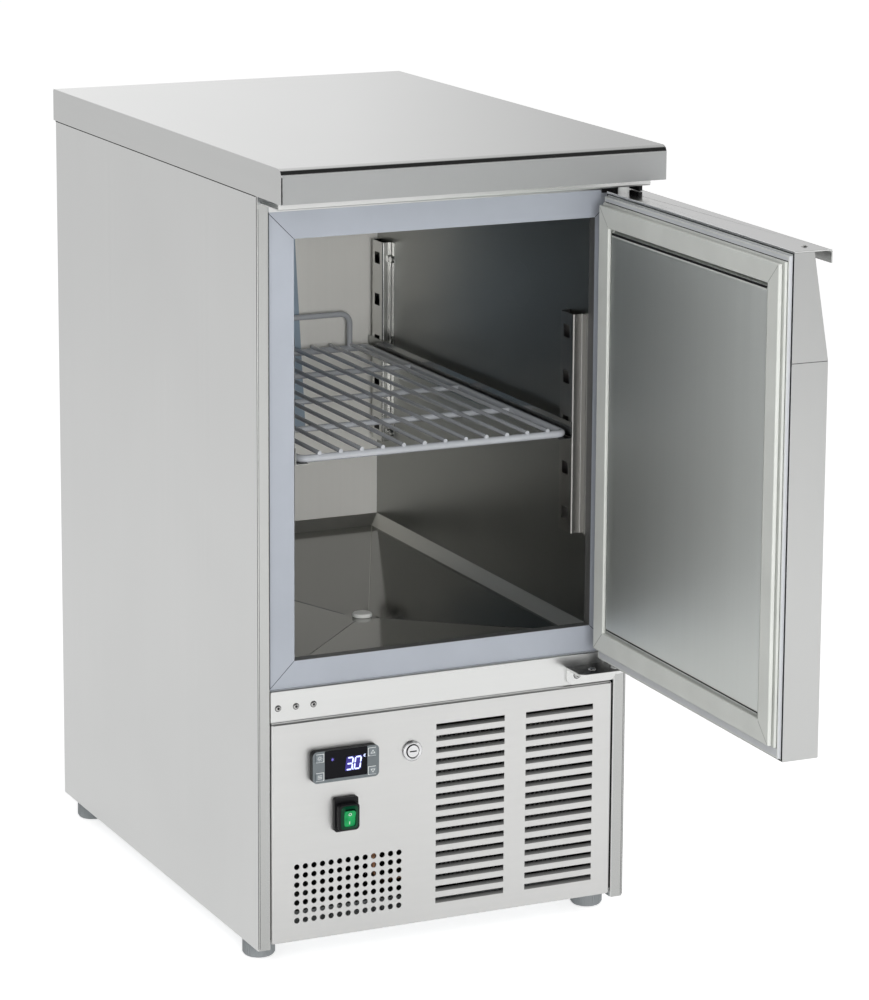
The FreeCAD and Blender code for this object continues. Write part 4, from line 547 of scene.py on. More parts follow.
STEEL = (0.74, 0.745, 0.735)
SIDE_STEEL = (0.70, 0.705, 0.698)
FLANGE_SHADE = ((0.54, 0.545, 0.535), 0.26)
INSIDE_SHADE = (0.35, 0.355, 0.34)
BLUE_GREY = (0.36, 0.385, 0.43)
SHADOW_GREY = (0.09, 0.09, 0.088)
PALE_GREY = (0.60, 0.615, 0.585)
FLAP_SHADE = (0.085, 0.085, 0.083)
FLAP_WAY = (0.0, -3.4, 1.2)
FOLD_WAY = (-1, 0, 1)

# Painted shade: the louvre flaps, the faces that look forward and up behind the panel's front, are coloured
# dark.
shaded_flaps = joined("MULTIPLY", facing(FLAP_WAY, 0.965, 0.985), zone("control_panel", "Y", max, 13.9, 17.1))
# Painted highlights on the floor: its faces that look up and to the left, and the strip along its rear rim,
# are coloured pale.
fold_light = joined("MAXIMUM", facing(FOLD_WAY, 0.95, 0.99), zone("liner_floor", "Y", max, 11.8, 12.0))
# Painted shade: the front face of each side panel's flange wears a darker steel than the side.
left_flange_shade = zone("left_side_panel", "Y", min, 0.1, 0.6)
right_flange_shade = zone("right_side_panel", "Y", min, 0.1, 0.6)
worktop_front = zone("worktop_shell", "Y", min, 0.05, 0.3)
# Painted highlight: the top face of the door grip is coloured near white and made smoother.
grip_top_highlight = zone("door_grip", "Z", max, 0.2, 0.6)
# Painted dark reflection: the top face of the lower hinge bracket is coloured nearly black.
hinge_top_dark_reflection = zone("lower_hinge_bracket", "Z", max, 0.1, 0.5)
# Painted shade: the uprights within 60 mm of the front wear a darker tone than the rear ones.
front_uprights_shade = zone("uprights_right", "Y", min, 60.0, 80.0)
# Painted shade: the inner side of the right breaker and the top of the bottom breaker wear SHADOW_GREY.
right_reveal_shade = zone("breaker_right", "X", min, 0.2, 0.5)
bottom_reveal_shade = zone("breaker_bottom", "Z", max, 0.2, 0.5)

looks = {
    "steel_upright": brushed("steel_upright", (0.56, 0.565, 0.558), 0.26, 2),
    "left_steel": brushed("left_steel", SIDE_STEEL, 0.15, 2, where=left_flange_shade, other=FLANGE_SHADE),
    "right_steel": brushed("right_steel", SIDE_STEEL, 0.15, 2, where=right_flange_shade, other=FLANGE_SHADE),
    "steel_across": brushed("steel_across", STEEL, 0.28, 0),
    "worktop_steel": brushed("worktop_steel", (0.64, 0.645, 0.638), 0.13, 1,
                             where=worktop_front, other=((0.60, 0.61, 0.61), 0.62)),
    "panel_steel": brushed("panel_steel", (0.73, 0.73, 0.72), 0.40, 0, where=shaded_flaps, other=(FLAP_SHADE, 0.3)),
    "grip_steel": brushed("grip_steel", STEEL, 0.26, 0, where=grip_top_highlight, other=((0.94, 0.94, 0.935), 0.15)),
    "hinge_steel": brushed("hinge_steel", STEEL, 0.26, 0, where=hinge_top_dark_reflection, other=((0.05, 0.05, 0.048), 0.2)),
    # Painted shade inside the compartment: its side walls, ceiling, runners and floor wear darker steel than
    # the outside.
    "inside_upright": brushed("inside_upright", INSIDE_SHADE, 0.34, 2, 0.01, 0.06),
    "inside_slots": brushed("inside_slots", (0.62, 0.62, 0.60), 0.16, 2,
                            where=front_uprights_shade, other=((0.38, 0.375, 0.36), 0.3)),
    # Painted light: the rear wall wears a lighter tone than the rest of the compartment.
    "inside_rear": brushed("inside_rear", (0.90, 0.89, 0.845), 0.46, 2, 0.01, 0.06, 0.25),
    "inside_floor": brushed("inside_floor", (0.25, 0.25, 0.24), 0.10, 1, 0.01, 0.04,
                            where=fold_light, other=((0.70, 0.695, 0.66), 0.5)),
    "inside_deep": brushed("inside_deep", INSIDE_SHADE, 0.20, 1),
    "door_inside": brushed("door_inside", (0.80, 0.825, 0.80), 0.5, 2, 0.008, 0.02),
    "zinc": zinc("zinc", (0.50, 0.52, 0.53)),
    "board": board("board", (0.46, 0.455, 0.44)),
    "foam": foamed("foam", (0.72, 0.62, 0.36)),
    "frame_plastic": moulded("frame_plastic", BLUE_GREY, 0.34, 700.0, 0.05, 0.03),
    "frame_right": moulded("frame_right", BLUE_GREY, 0.34, 700.0, 0.05, 0.03,
                           where=right_reveal_shade, other=SHADOW_GREY),
    "frame_bottom": moulded("frame_bottom", BLUE_GREY, 0.34, 700.0, 0.05, 0.03,
                            where=bottom_reveal_shade, other=SHADOW_GREY),
    "retainer": moulded("retainer", (0.54, 0.555, 0.575), 0.34, 700.0, 0.05, 0.03),
    "gasket": moulded("gasket_rubber", PALE_GREY, 0.42, 600.0, 0.08, 0.04),
    "gasket_line": moulded("gasket_line", (0.30, 0.31, 0.29), 0.5, 600.0, 0.08, 0.04),
    "white_plastic": moulded("white_plastic", (0.72, 0.73, 0.72), 0.35),
    "cover_plastic": moulded("cover_plastic", (0.28, 0.35, 0.42), 0.4),
    "foot_plastic": moulded("foot_plastic", (0.31, 0.33, 0.34), 0.45),
    "drain_plastic": moulded("drain_plastic", (0.58, 0.59, 0.56), 0.35),
    "plug": moulded("plug", (0.92, 0.925, 0.89), 0.35, 500.0, 0.1, 0.04),
    "shelf_coating": moulded("shelf_coating", (0.40, 0.415, 0.44), 0.2, 300.0, 0.01, 0.05, 0.8),
    "controller_case": controller_case(),
    "key_plastic": moulded("key_plastic", (0.17, 0.195, 0.21), 0.4),
    "black_plastic": moulded("black_plastic", (0.008, 0.008, 0.009), 0.34, 1100.0, 0.1, 0.05, 0.0, 0.2),
    "green_boot": moulded("green_boot", (0.001, 0.045, 0.018), 0.2, 300.0, 0.04, 0.2, 0.0, 0.2),
    "green_lens": green_lens(),
    "copper": drawn_metal("copper", (0.75, 0.38, 0.22), 0.28, 0.35),
    "fins": drawn_metal("fins", (0.13, 0.132, 0.135), 0.4, 0.2),
    "chrome": drawn_metal("chrome", (0.80, 0.80, 0.81), 0.08, 0.06),
    "screw_steel": drawn_metal("screw_steel", (0.52, 0.52, 0.51), 0.2, 0.1, 900.0),
    "black_paint": moulded("black_paint", (0.018, 0.018, 0.02), 0.32, 500.0, 0.15, 0.08, 0.2),
    "digits": glowing("digits", (0.5, 0.55, 0.9), (0.66, 0.74, 1.0), 1.2),
    "halo": glowing("halo", (0.01, 0.008, 0.05), (0.030, 0.018, 0.26), 0.9),
    "lamp_mark": glowing("lamp_mark", (0.1, 0.1, 0.4), (0.16, 0.11, 0.62), 0.8),
    "white_print": moulded("white_print", (0.72, 0.74, 0.73), 0.5, 900.0, 0.05, 0.03),
    "window": moulded("window", (0.006, 0.006, 0.008), 0.12, 200.0, 0.02, 0.1, 0.0, 0.1),
    "seam": moulded("seam", (0.01, 0.01, 0.01), 0.6, 900.0, 0.1, 0.1, 0.0, 0.1),
}

node_looks = {
    "steel_upright": "door_skin",
    "left_steel": "left_side_panel",
    "right_steel": "right_side_panel",
    "steel_across": "top_rail middle_rail",
    "worktop_steel": "worktop_shell",
    "panel_steel": "control_panel",
    "grip_steel": "door_grip",
    "hinge_steel": "lower_hinge_bracket",
    "inside_upright": "liner_left liner_right",
    "inside_slots": "uprights_left uprights_right",
    "inside_rear": "liner_rear",
    "inside_floor": "liner_floor",
    "inside_deep": "liner_ceiling runner_left runner_right",
    "door_inside": "door_liner",
    "zinc": "rear_panel base_tray",
    "board": "worktop_core",
    "foam": "insulation_foam door_foam",
    "frame_plastic": "breaker_left breaker_top",
    "frame_right": "breaker_right",
    "frame_bottom": "breaker_bottom",
    "retainer": "door_retainer",
    "gasket": "door_gasket",
    "cover_plastic": "evaporator_cover fan_hood",
    "foot_plastic": "foot_front_left foot_front_right foot_rear_left foot_rear_right",
    "drain_plastic": "drain_pipe",
    "plug": "drain_plug",
    "white_plastic": "hinge_bushes",
    "shelf_coating": "wire_shelf",
    "controller_case": "controller",
    "key_plastic": "light_button set_button up_button down_button",
    "black_plastic": "rocker_frame cable_gland drip_basin condenser_fan evaporator_fan",
    "green_lens": "rocker_switch",
    "chrome": "lock_body lock_barrel pivot_pins",
    "copper": "refrigerant_lines evaporator_coil",
    "fins": "condenser_coil",
    "black_paint": "compressor condenser_fan_motor evaporator_fan_motor",
}

# Soft edges by their width in millimetres, and the angles past which a crease stays sharp

node_bevels = {
    0.25: "breaker_left breaker_right breaker_top breaker_bottom",
    0.3: "controller light_button set_button up_button down_button",
    0.4: "door_grip rocker_frame",
    0.5: "door_gasket lower_hinge_bracket",
    0.6: "door_skin door_retainer evaporator_cover lock_barrel",
    0.8: "worktop_shell",
    1.6: "rocker_switch",
    2.2: "lock_body",
}
bevels = {node: width for width, names in node_bevels.items() for node in names.split()}
SHARP = math.radians(35)
CRISP = {"liner_floor": math.radians(0.6), "control_panel": math.radians(8)}
WELD = 0.01


def split_creases(obj, angle):
    """Keep the creases of a smooth object sharp."""
    split = obj.modifiers.new("split", "EDGE_SPLIT")
    split.split_angle = angle


def dress(obj, mat, bevel, sharp):
    """Give a CAD node its material, soft edges and smooth curved faces."""
    mesh = obj.data
    mesh.materials.clear()
    mesh.materials.append(mat)
    if "custom_normal" in mesh.attributes:
        mesh.attributes.remove(mesh.attributes["custom_normal"])
    for face in mesh.polygons:
        face.use_smooth = True
    weld = obj.modifiers.new("weld", "WELD")
    weld.merge_threshold = WELD * MM
    if bevel:
        edge = obj.modifiers.new("edge", "BEVEL")
        edge.width = bevel * MM
        edge.segments = 2
        edge.limit_method = "ANGLE"
        edge.angle_limit = SHARP
    split_creases(obj, sharp)
    level = obj.modifiers.new("level", "WEIGHTED_NORMAL")
    level.weight = 100


for look, names in node_looks.items():
    for node in names.split():
        dress(nodes[node], looks[look], bevels.get(node, 0.0), CRISP.get(node, SHARP))


# Tools for pieces

def placed(name, data):
    """A new object of the scene."""
    obj = bpy.data.objects.new(name, data)
    bpy.context.collection.objects.link(obj)
    return obj


def finished(name, bm, mat):
    """A mesh under construction turned into a mesh with its material."""
    mesh = bpy.data.meshes.new(name)
    bm.to_mesh(mesh)
    bm.free()
    mesh.materials.append(mat)
    return mesh


def piece(name, bm, look, body, smooth=False):
    """Turn a mesh under construction into a piece that moves with a body."""
    bmesh.ops.recalc_face_normals(bm, faces=bm.faces)
    mesh = finished(name, bm, looks[look])
    for face in mesh.polygons:
        face.use_smooth = smooth
    obj = placed(name, mesh)
    if smooth:
        split_creases(obj, SHARP)
    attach(obj, body)


def loop(bm, points, depth, shift=0.0):
    """Points given as (x, z) at a depth, which may be a function of x and z."""
    return [bm.verts.new(Vector((x, (depth(x, z) if callable(depth) else depth) + shift, z)) * MM)
            for x, z in points]


def slab(bm, points, front, back, base=None):
    """A flat outline made solid from its front to this much behind it, where it may have another outline."""
    near, far = loop(bm, points, front), loop(bm, base or points, front, back)
    bm.faces.new(near)
    bm.faces.new(far[::-1])
    for k in range(len(points)):
        n = (k + 1) % len(points)
        bm.faces.new((near[k], far[k], far[n], near[n]))


def bar(bm, across, up, front, back):
    """A straight bar over a span across and a span up."""
    (x0, x1), (low, top) = across, up
    slab(bm, [(x0, low), (x1, low), (x1, top), (x0, top)], front, back)


def hoop(bm, outer, inner, front, back, front_inner=None):
    """A closed band between two outlines with as many points; its inner rim may have its own depth."""
    rim = front if front_inner is None else front_inner
    near, far = loop(bm, outer, front), loop(bm, outer, front, back)
    core, deep = loop(bm, inner, rim), loop(bm, inner, rim, back)
    for k in range(len(outer)):
        n = (k + 1) % len(outer)
        for a, b in ((near, core), (core, deep), (deep, far), (far, near)):
            bm.faces.new((a[k], a[n], b[n], b[k]))


def stroke(bm, start, end, width, front, back):
    """A straight bar between two points."""
    a, b = Vector(start), Vector(end)
    along = (b - a).normalized()
    side = Vector((-along.y, along.x)) * (width / 2)
    slab(bm, [tuple(a + side), tuple(b + side), tuple(b - side), tuple(a - side)], front, back)


def mitres(bm, outer, inner, width, front, back):
    """Lines across the four corners between two rectangles, each (half width, low, top)."""
    for side, _ in SIDES:
        for out, core in zip(outer[1:], inner[1:]):
            stroke(bm, (side * outer[0], out), (side * inner[0], core), width, front, back)


def arc_points(centre, radius, start, end, count):
    """Points on an arc, by degrees."""
    angles = [math.radians(start + (end - start) * k / (count - 1)) for k in range(count)]
    return [(centre[0] + radius * math.cos(a), centre[1] + radius * math.sin(a)) for a in angles]


def circle(centre, radius, count=28):
    """Points round a circle."""
    return arc_points(centre, radius, 0.0, 360.0, count + 1)[:-1]


def rounded(centre, half_x, half_z, radius, steps=6):
    """Outline of a rectangle with rounded corners."""
    points = []
    for sx, sz, start in ((1, 1, 0), (-1, 1, 90), (-1, -1, 180), (1, -1, 270)):
        middle = (centre[0] + sx * (half_x - radius), centre[1] + sz * (half_z - radius))
        points += arc_points(middle, radius, start, start + 90, steps)
    return points


def corners(half_x, low, top):
    """Outline of a rectangle in the middle of the door."""
    return [(-half_x, low), (half_x, low), (half_x, top), (-half_x, top)]


def mirrored(side, span):
    """A span across, drawn on the right, on either side."""
    return sorted(side * x for x in span)


def lathe(bm, profile, place, axis, count=32):
    """A turned shape: profile is (radius, height) along an axis from a place."""
    axis = Vector(axis).normalized()
    side = axis.orthogonal().normalized()
    other = axis.cross(side)
    rings = []
    for radius, height in profile:
        centre = Vector(place) + axis * height
        if radius == 0:
            rings.append([bm.verts.new(centre * MM)])
            continue
        turn = [2 * math.pi * k / count for k in range(count)]
        rings.append([bm.verts.new((centre + side * radius * math.cos(a) + other * radius * math.sin(a)) * MM)
                      for a in turn])
    for low, high in zip(rings, rings[1:]):
        for k in range(count):
            n = (k + 1) % count
            if len(low) == 1:
                bm.faces.new((low[0], high[k], high[n]))
            elif len(high) == 1:
                bm.faces.new((low[k], low[n], high[0]))
            else:
                bm.faces.new((low[k], low[n], high[n], high[k]))


def face_of(node):
    """Depth of a node's front face at a place seen from the front, in millimetres."""
    mesh = nodes[node].data
    tree = BVHTree.FromPolygons([v.co for v in mesh.vertices], [p.vertices for p in mesh.polygons])

    def depth(x, z):
        hit = tree.ray_cast(Vector((x * MM, -1.0, z * MM)), Vector((0, 1, 0)))
        return hit[0].y / MM
    return depth


def swing(bm):
    """Turn a mesh drawn on the closed door to where the door stands."""
    middle = Vector((*DOOR_PIVOT, 0.0)) * MM
    turn = Matrix.Rotation(math.radians(DOOR_ANGLE), 3, "Z")
    bmesh.ops.rotate(bm, verts=bm.verts, cent=middle, matrix=turn)


# Display of the controller

def display_window():
    """Dark glass over the controller's recess, with rounded corners."""
    bm = bmesh.new()
    slab(bm, rounded(WINDOW, WINDOW_SIZE[0] / 2, WINDOW_SIZE[1] / 2, WINDOW_CORNER, 5), WINDOW_FACE, GLASS)
    piece("display_window", bm, "window", "panel")


def digit(bm, sign, centre, front):
    """One seven-segment figure, leaning to the right."""
    w, h, s = DIGIT[0] / 2, DIGIT[1] / 2, DIGIT_LINE / 2
    ends = {"a": ((-w, h), (w, h)), "b": ((w, h), (w, 0)), "c": ((w, 0), (w, -h)), "d": ((-w, -h), (w, -h)),
            "e": ((-w, 0), (-w, -h)), "f": ((-w, h), (-w, 0)), "g": ((-w, 0), (w, 0))}
    for name in SEGMENTS[sign]:
        a, b = (Vector(p) for p in ends[name])
        along = (b - a).normalized()
        side = Vector((-along.y, along.x)) * s
        a, b = a + along * DIGIT_GAP, b - along * DIGIT_GAP
        c, d = a + along * s, b - along * s
        points = [a, c + side, d + side, b, d - side, c - side]
        slab(bm, [(centre[0] + p.x + SLANT * p.y, centre[1] + p.y) for p in points], front, PRINT)


def display_halo():
    """Blue glow behind the lit figures."""
    bm = bmesh.new()
    for _, centre in DIGIT_PLACES:
        outline = rounded(centre, DIGIT[0] / 2 + HALO_RIM, DIGIT[1] / 2 + HALO_RIM, HALO_CORNER)
        slab(bm, [(x + SLANT * (z - centre[1]), z) for x, z in outline], WINDOW_FACE - HALO_RISE, PRINT)
    piece("display_halo", bm, "halo", "panel")


def display_digits():
    """The lit temperature: 3.0 with a degree mark."""
    bm = bmesh.new()
    front = WINDOW_FACE - HALO_RISE - PRINT
    for sign, centre in DIGIT_PLACES:
        digit(bm, sign, centre, front)
    dot = (POINT[0] - SLANT * DIGIT[1] / 2, POINT[1] - DIGIT[1] / 2)
    slab(bm, circle(dot, POINT_RADIUS, 12), front, PRINT)
    outer, inner = (arc_points(DEGREE, radius, *DEGREE_ARC, 14) for radius in DEGREE_RADII)
    slab(bm, outer + inner[::-1], front, PRINT)
    piece("display_digits", bm, "digits", "panel")


def display_lamp():
    """Small lit star that shows the compressor runs."""
    bm = bmesh.new()
    middle = Vector(STAR)
    for k in range(3):
        a = math.radians(30 + 60 * k)
        reach = Vector((math.cos(a), math.sin(a))) * STAR_REACH
        front = WINDOW_FACE - PRINT + STAR_SINK - STAR_STEP * k
        stroke(bm, middle - reach, middle + reach, STAR_LINE, front, PRINT)
    piece("display_lamp", bm, "lamp_mark", "panel")


# Prints on and round the keys

def key_lines():
    """Printed brackets round the keys."""
    bm = bmesh.new()
    front = CONTROL_FACE - PRINT
    for node, side in (("light_button", 1), ("set_button", 1), ("up_button", -1), ("down_button", -1)):
        lo, hi = box(node)
        low, top = lo.z - BRACKET_MARGIN, hi.z + BRACKET_MARGIN
        start, end = (lo.x, hi.x) if side > 0 else (hi.x, lo.x)
        near, far = end + side * BRACKET_SIDE, start + side * BRACKET_END
        core, floor_line, roof_line = near - side * BRACKET_LINE, low + BRACKET_LINE, top - BRACKET_LINE
        points = [(far, top), (near, top), (near, low), (far, low)]
        inner = [(far, roof_line), (core, roof_line), (core, floor_line), (far, floor_line)]
        slab(bm, points + inner[::-1], front, PRINT)
    piece("key_lines", bm, "white_print", "panel")


def key_sign(name, body, node, draw):
    """A printed sign on one key."""
    bm = bmesh.new()
    draw(bm, middle_of(node), box(node)[0].y - PRINT)
    piece(name, bm, "white_print", body)


def draw_lamp(bm, c, front):
    """A lamp with rays."""
    outer, inner = (circle(c, radius, 20) for radius in BULB_RADII)
    hoop(bm, outer, inner, front, PRINT)
    for k in range(8):
        a = math.radians(45 * k)
        start, end = (Vector(c) + Vector((math.cos(a), math.sin(a))) * reach for reach in RAY_SPAN)
        stroke(bm, start, end, RAY_LINE, front, PRINT)


def draw_menu(bm, c, front):
    """Three lines."""
    for dz in (-MENU_STEP, 0.0, MENU_STEP):
        stroke(bm, (c[0] - MENU_HALF, c[1] + dz), (c[0] + MENU_HALF, c[1] + dz), MENU_LINE, front, PRINT)


def triangle(c, way, half, foot, tip):
    """Outline of a triangle round a place that points up or down."""
    return [(c[0] - half, c[1] - way * foot), (c[0] + half, c[1] - way * foot), (c[0], c[1] + way * tip)]


def draw_arrow(way):
    """An outlined triangle that points up or down."""
    def draw(bm, c, front):
        hoop(bm, triangle(c, way, *ARROW_OUTER), triangle(c, way, *ARROW_INNER), front, PRINT)
    return draw


# Switch and lock

def rocker_boot():
    """Dark green rim of the clear boot, rising towards the rocker."""
    bm = bmesh.new()
    hoop(bm, rounded(COLLAR, *BOOT_OUTER), rounded(COLLAR, *BOOT_INNER), COLLAR_FACE - BOOT_RISE, BOOT_WALL,
         COLLAR_FACE - BOOT_CREST)
    piece("rocker_boot", bm, "green_boot", "panel", True)


def rocker_marks():
    """Circle above and bar below on the rocker."""
    bm = bmesh.new()
    depth = face_of("rocker_switch")
    x, z = middle_of("rocker_switch")

    def front(px, pz):
        return depth(px, pz) - PRINT
    outer, inner = (circle((x, z + ROCKER_RING), radius, 24) for radius in ROCKER_RING_RADII)
    hoop(bm, outer, inner, front, PRINT)
    stroke(bm, (x, z + ROCKER_BAR[0]), (x, z + ROCKER_BAR[1]), ROCKER_BAR_LINE, front, PRINT)
    piece("rocker_marks", bm, "white_print", "rocker")


def lock_ring():
    """Dark gap round the lock's barrel."""
    bm = bmesh.new()
    outer, inner = (circle(LOCK, radius, 40) for radius in LOCK_RADII)
    hoop(bm, outer, inner, box("lock_body")[0].y - LINE_RISE, LOCK_RING_DEPTH)
    piece("lock_ring", bm, "seam", "panel")


def key_hole_shade():
    """Painted shade: a dark plate inside the barrel's key slit."""
    bm = bmesh.new()
    slab(bm, rounded(LOCK, *SLIT), box("lock_barrel")[0].y + SLIT_SINK, SLIT_DEPTH)
    piece("key_hole_shade", bm, "seam", "lock")


# Screws, with profiles as shares of the head's radius and rise

def screw(bm, place, axis, radius, rise):
    """A domed screw head with a round recess."""
    dome = [(0.0, 0.1), (0.42, 0.1), (0.46, 0.97), (0.62, 1.0), (0.86, 0.72), (1.0, 0.2)]
    foot = [(radius, SCREW_FOOT), (0.0, SCREW_FOOT)]
    lathe(bm, [(radius * r, rise * h) for r, h in dome] + foot, place, axis, 24)


def screw_shade(bm, place, axis, radius, rise):
    """Painted shade of a screw: a dark six-sided disc at the bottom of its recess, and a dark ring under its
    head as its shadow.
    """
    head_shadow = [(0.0, 0.12), (1.06, 0.12), (1.14, 0.04), (1.14, SCREW_FOOT), (0.0, SCREW_FOOT)]
    lathe(bm, [(radius * r, h) for r, h in head_shadow], place, axis, 24)
    recess = [(0.0, 0.4), (0.41, 0.4), (0.41, 0.1), (0.0, 0.1)]
    lathe(bm, [(radius * r, rise * h) for r, h in recess], place, axis, 6)


def screws(name, body, places, axis, radius, rise):
    """Screws in a row, each with painted shade in its recess and under its head."""
    heads, recess_shades = bmesh.new(), bmesh.new()
    for place in places:
        screw(heads, place, axis, radius, rise)
        screw_shade(recess_shades, place, axis, radius, rise)
    piece(name, heads, "screw_steel", body, True)
    piece(name + "_recess", recess_shades, "seam", body)


# Lines, trim, painted shade and painted highlights of the cabinet

def worktop_seam():
    """Folded corner seam at the worktop's front left edge."""
    bm = bmesh.new()
    bar(bm, *WORKTOP_SEAM, WORKTOP_FACE, WORKTOP_SEAM_DEPTH)
    piece("worktop_seam", bm, "seam", "cabinet")


def side_shadow(side, word):
    """Painted shadow on a side panel, just under the worktop's rim above it."""
    bm = bmesh.new()
    lo, hi = box("right_side_panel")
    across = mirrored(side, (hi.x - SIDE_SHADOW, hi.x + SIDE_SHADOW))
    depth = hi.y - lo.y - 2 * SIDE_SHADOW_INSET
    bar(bm, across, (hi.z - SIDE_SHADOW_HEIGHT, hi.z), lo.y + SIDE_SHADOW_INSET, depth)
    piece("side_shadow_" + word, bm, "seam", "cabinet")


def panel_gap_shade(side, word):
    """Painted shade: a dark strip set in the gap beside the control panel."""
    bm = bmesh.new()
    across, up = PANEL_GAP_SHADE
    bar(bm, mirrored(side, across), up, PANEL_FACE + PANEL_GAP_SHADE_SINK, PANEL_GAP_SHADE_DEPTH)
    piece("panel_gap_shade_" + word, bm, "seam", "cabinet")


def wall_mark():
    """Faint pressed ring on the compartment's right wall."""
    bm = bmesh.new()
    lathe(bm, WALL_RING, (box("liner_right")[0].x, *WALL_MARK), (-1, 0, 0), 48)
    bmesh.ops.remove_doubles(bm, verts=bm.verts, dist=0.001 * MM)
    piece("wall_mark", bm, "inside_upright", "cabinet", True)


def hinge_shade():
    """Painted shade: black plates behind and beside the upper door pin, under the top rail."""
    bm = bmesh.new()
    for across, up, front, depth in HINGE_SHADE:
        bar(bm, across, up, front, depth)
    piece("hinge_shade", bm, "black_plastic", "cabinet")


def panel_lip():
    """Thin turned edge along most of the control panel's top."""
    bm = bmesh.new()
    (x0, x1), low = PANEL_LIP, box("control_panel")[1].z
    top = low + PANEL_LIP_HEIGHT
    slab(bm, [(x0, low), (x1, low), (x1 - PANEL_LIP_SLANT, top), (x0, top)],
         PANEL_FACE + PANEL_LIP_SINK, PANEL_LIP_DEPTH)
    piece("panel_lip", bm, "steel_across", "panel")


def frame_mitres():
    """Mitred joints at the corners of the plastic frame round the opening."""
    bm = bmesh.new()
    mitres(bm, FRAME_OUTER, FRAME_INNER, FRAME_MITRE, FRAME_FACE - LINE_RISE, LINE)
    piece("frame_mitres", bm, "seam", "cabinet")


def flange_lines(side, word):
    """Dark lines along the folded front edge of a side panel: painted dark reflections on its bend, and a
    dark joint beside the frame.
    """
    bm = bmesh.new()
    for across, up in FLANGE_LINES:
        bar(bm, mirrored(side, across), up, RAIL_FACE - LINE_RISE, LINE)
    piece("flange_lines_" + word, bm, "seam", "cabinet")


def corner_cap(side, word):
    """Steel plate that closes the notch above a front flange."""
    bm = bmesh.new()
    lo, hi = box("top_rail")
    up = (lo.z + CORNER_CAP_MARGIN, hi.z - CORNER_CAP_MARGIN)
    bar(bm, mirrored(side, CORNER_CAP), up, RAIL_FACE + CORNER_CAP_SINK, CORNER_CAP_DEPTH)
    piece("corner_cap_" + word, bm, "zinc", "cabinet")


def ridge(bm, start, end, half, rise):
    """A low three-sided ridge along a line."""
    aside = (end - start).cross(Vector(UP)).normalized() * half
    section = (aside, Vector((0, 0, rise)), -aside)
    first, last = ([bm.verts.new((point + shift) * MM) for shift in section] for point in (start, end))
    bm.faces.new(first)
    bm.faces.new(last[::-1])
    for k in range(3):
        n = (k + 1) % 3
        bm.faces.new((first[k], last[k], last[n], first[n]))


def fold_highlights():
    """Painted highlights along the creases of the floor pan, from its corners to the drain: low pale ridges.
    """
    bm = bmesh.new()
    lo, hi = box("liner_floor")
    high, low = (lo.z + rise for rise in FLOOR_FOLD)
    for side, _ in SIDES:
        for way, corner in ((-1, lo.y + FLOOR_RIM), (1, hi.y - FLOOR_RIM)):
            start = Vector((side * (hi.x - FLOOR_RIM), corner, high))
            end = Vector((DRAIN[0] + side * DRAIN_REACH, DRAIN[1] + way * DRAIN_REACH, low))
            ridge(bm, start, end, FOLD_HALF, FOLD_RISE)
    piece("fold_highlights", bm, "inside_slots", "cabinet")


# Lines, trim, painted shade and painted highlights of the door, drawn on the closed door

def door_line(name, look, rectangles, front, back):
    """A thin line all round, between two rectangles."""
    bm = bmesh.new()
    outer, inner = (corners(*rectangle) for rectangle in rectangles)
    hoop(bm, outer, inner, front, back)
    swing(bm)
    piece(name, bm, look, "door")


def gasket_mitres():
    """Weld lines across the gasket's corners."""
    bm = bmesh.new()
    mitres(bm, GASKET_OUTER, GASKET_INNER, GASKET_MITRE, GASKET_FACE, GASKET_MITRE_DEPTH)
    swing(bm)
    piece("gasket_mitres", bm, "gasket_line", "door")


def door_pan():
    """Raised middle of the door's inner sheet, with rounded corners and slanting sides."""
    bm = bmesh.new()
    half, low, top = PAN
    middle, rise = (0.0, (low + top) / 2), (top - low) / 2
    crest = rounded(middle, half - PAN_SLANT, rise - PAN_SLANT, PAN_CORNERS[0])
    slab(bm, crest, PAN_FACE, DOOR_INNER - PAN_FACE, rounded(middle, half, rise, PAN_CORNERS[1]))
    swing(bm)
    piece("door_pan", bm, "door_inside", "door")


def pan_lines(name, look, bands, rise):
    """Straight lines across the raised middle, between two heights each."""
    bm = bmesh.new()
    half = PAN[0] - PAN_LINE_INSET
    for band in bands:
        bar(bm, (-half, half), band, PAN_FACE + rise - PAN_LINE, PAN_LINE)
    swing(bm)
    piece(name, bm, look, "door")


display_window()
display_halo()
display_digits()
display_lamp()
key_lines()
key_sign("light_sign", "light_key", "light_button", draw_lamp)
key_sign("set_sign", "set_key", "set_button", draw_menu)
key_sign("up_sign", "up_key", "up_button", draw_arrow(1))
key_sign("down_sign", "down_key", "down_button", draw_arrow(-1))
rocker_boot()
rocker_marks()
lock_ring()
key_hole_shade()
for row in SCREWS:
    screws(*row)
worktop_seam()
for paired in (side_shadow, panel_gap_shade):
    for side, word in SIDES:
        paired(side, word)
wall_mark()
door_line("door_gap", "seam", DOOR_GAP, DOOR_GAP_FACE, DOOR_GAP_DEPTH)
# Painted highlight: a pale line along the retainer's outer edge.
door_line("retainer_highlight", "gasket", RETAINER_HIGHLIGHT, RETAINER_FACE, RETAINER_HIGHLIGHT_DEPTH)
door_line("gasket_groove", "seam", GASKET_GROOVE, RETAINER_FACE, GASKET_GROOVE_DEPTH)
gasket_mitres()
door_pan()
# Painted shade under the gasket's inner edge, and a painted highlight on the rim of the raised middle.
pan_lines("panel_shade_line", "seam", PAN_SHADE_LINE, PAN_SHADE_LINE_RISE)
pan_lines("panel_rim_highlight", "gasket", PAN_RIM_HIGHLIGHT, PAN_RIM_HIGHLIGHT_RISE)
hinge_shade()
panel_lip()
frame_mitres()
for paired in (flange_lines, corner_cap):
    for side, word in SIDES:
        paired(side, word)
fold_highlights()


# Stage: floor, world, lamps and camera

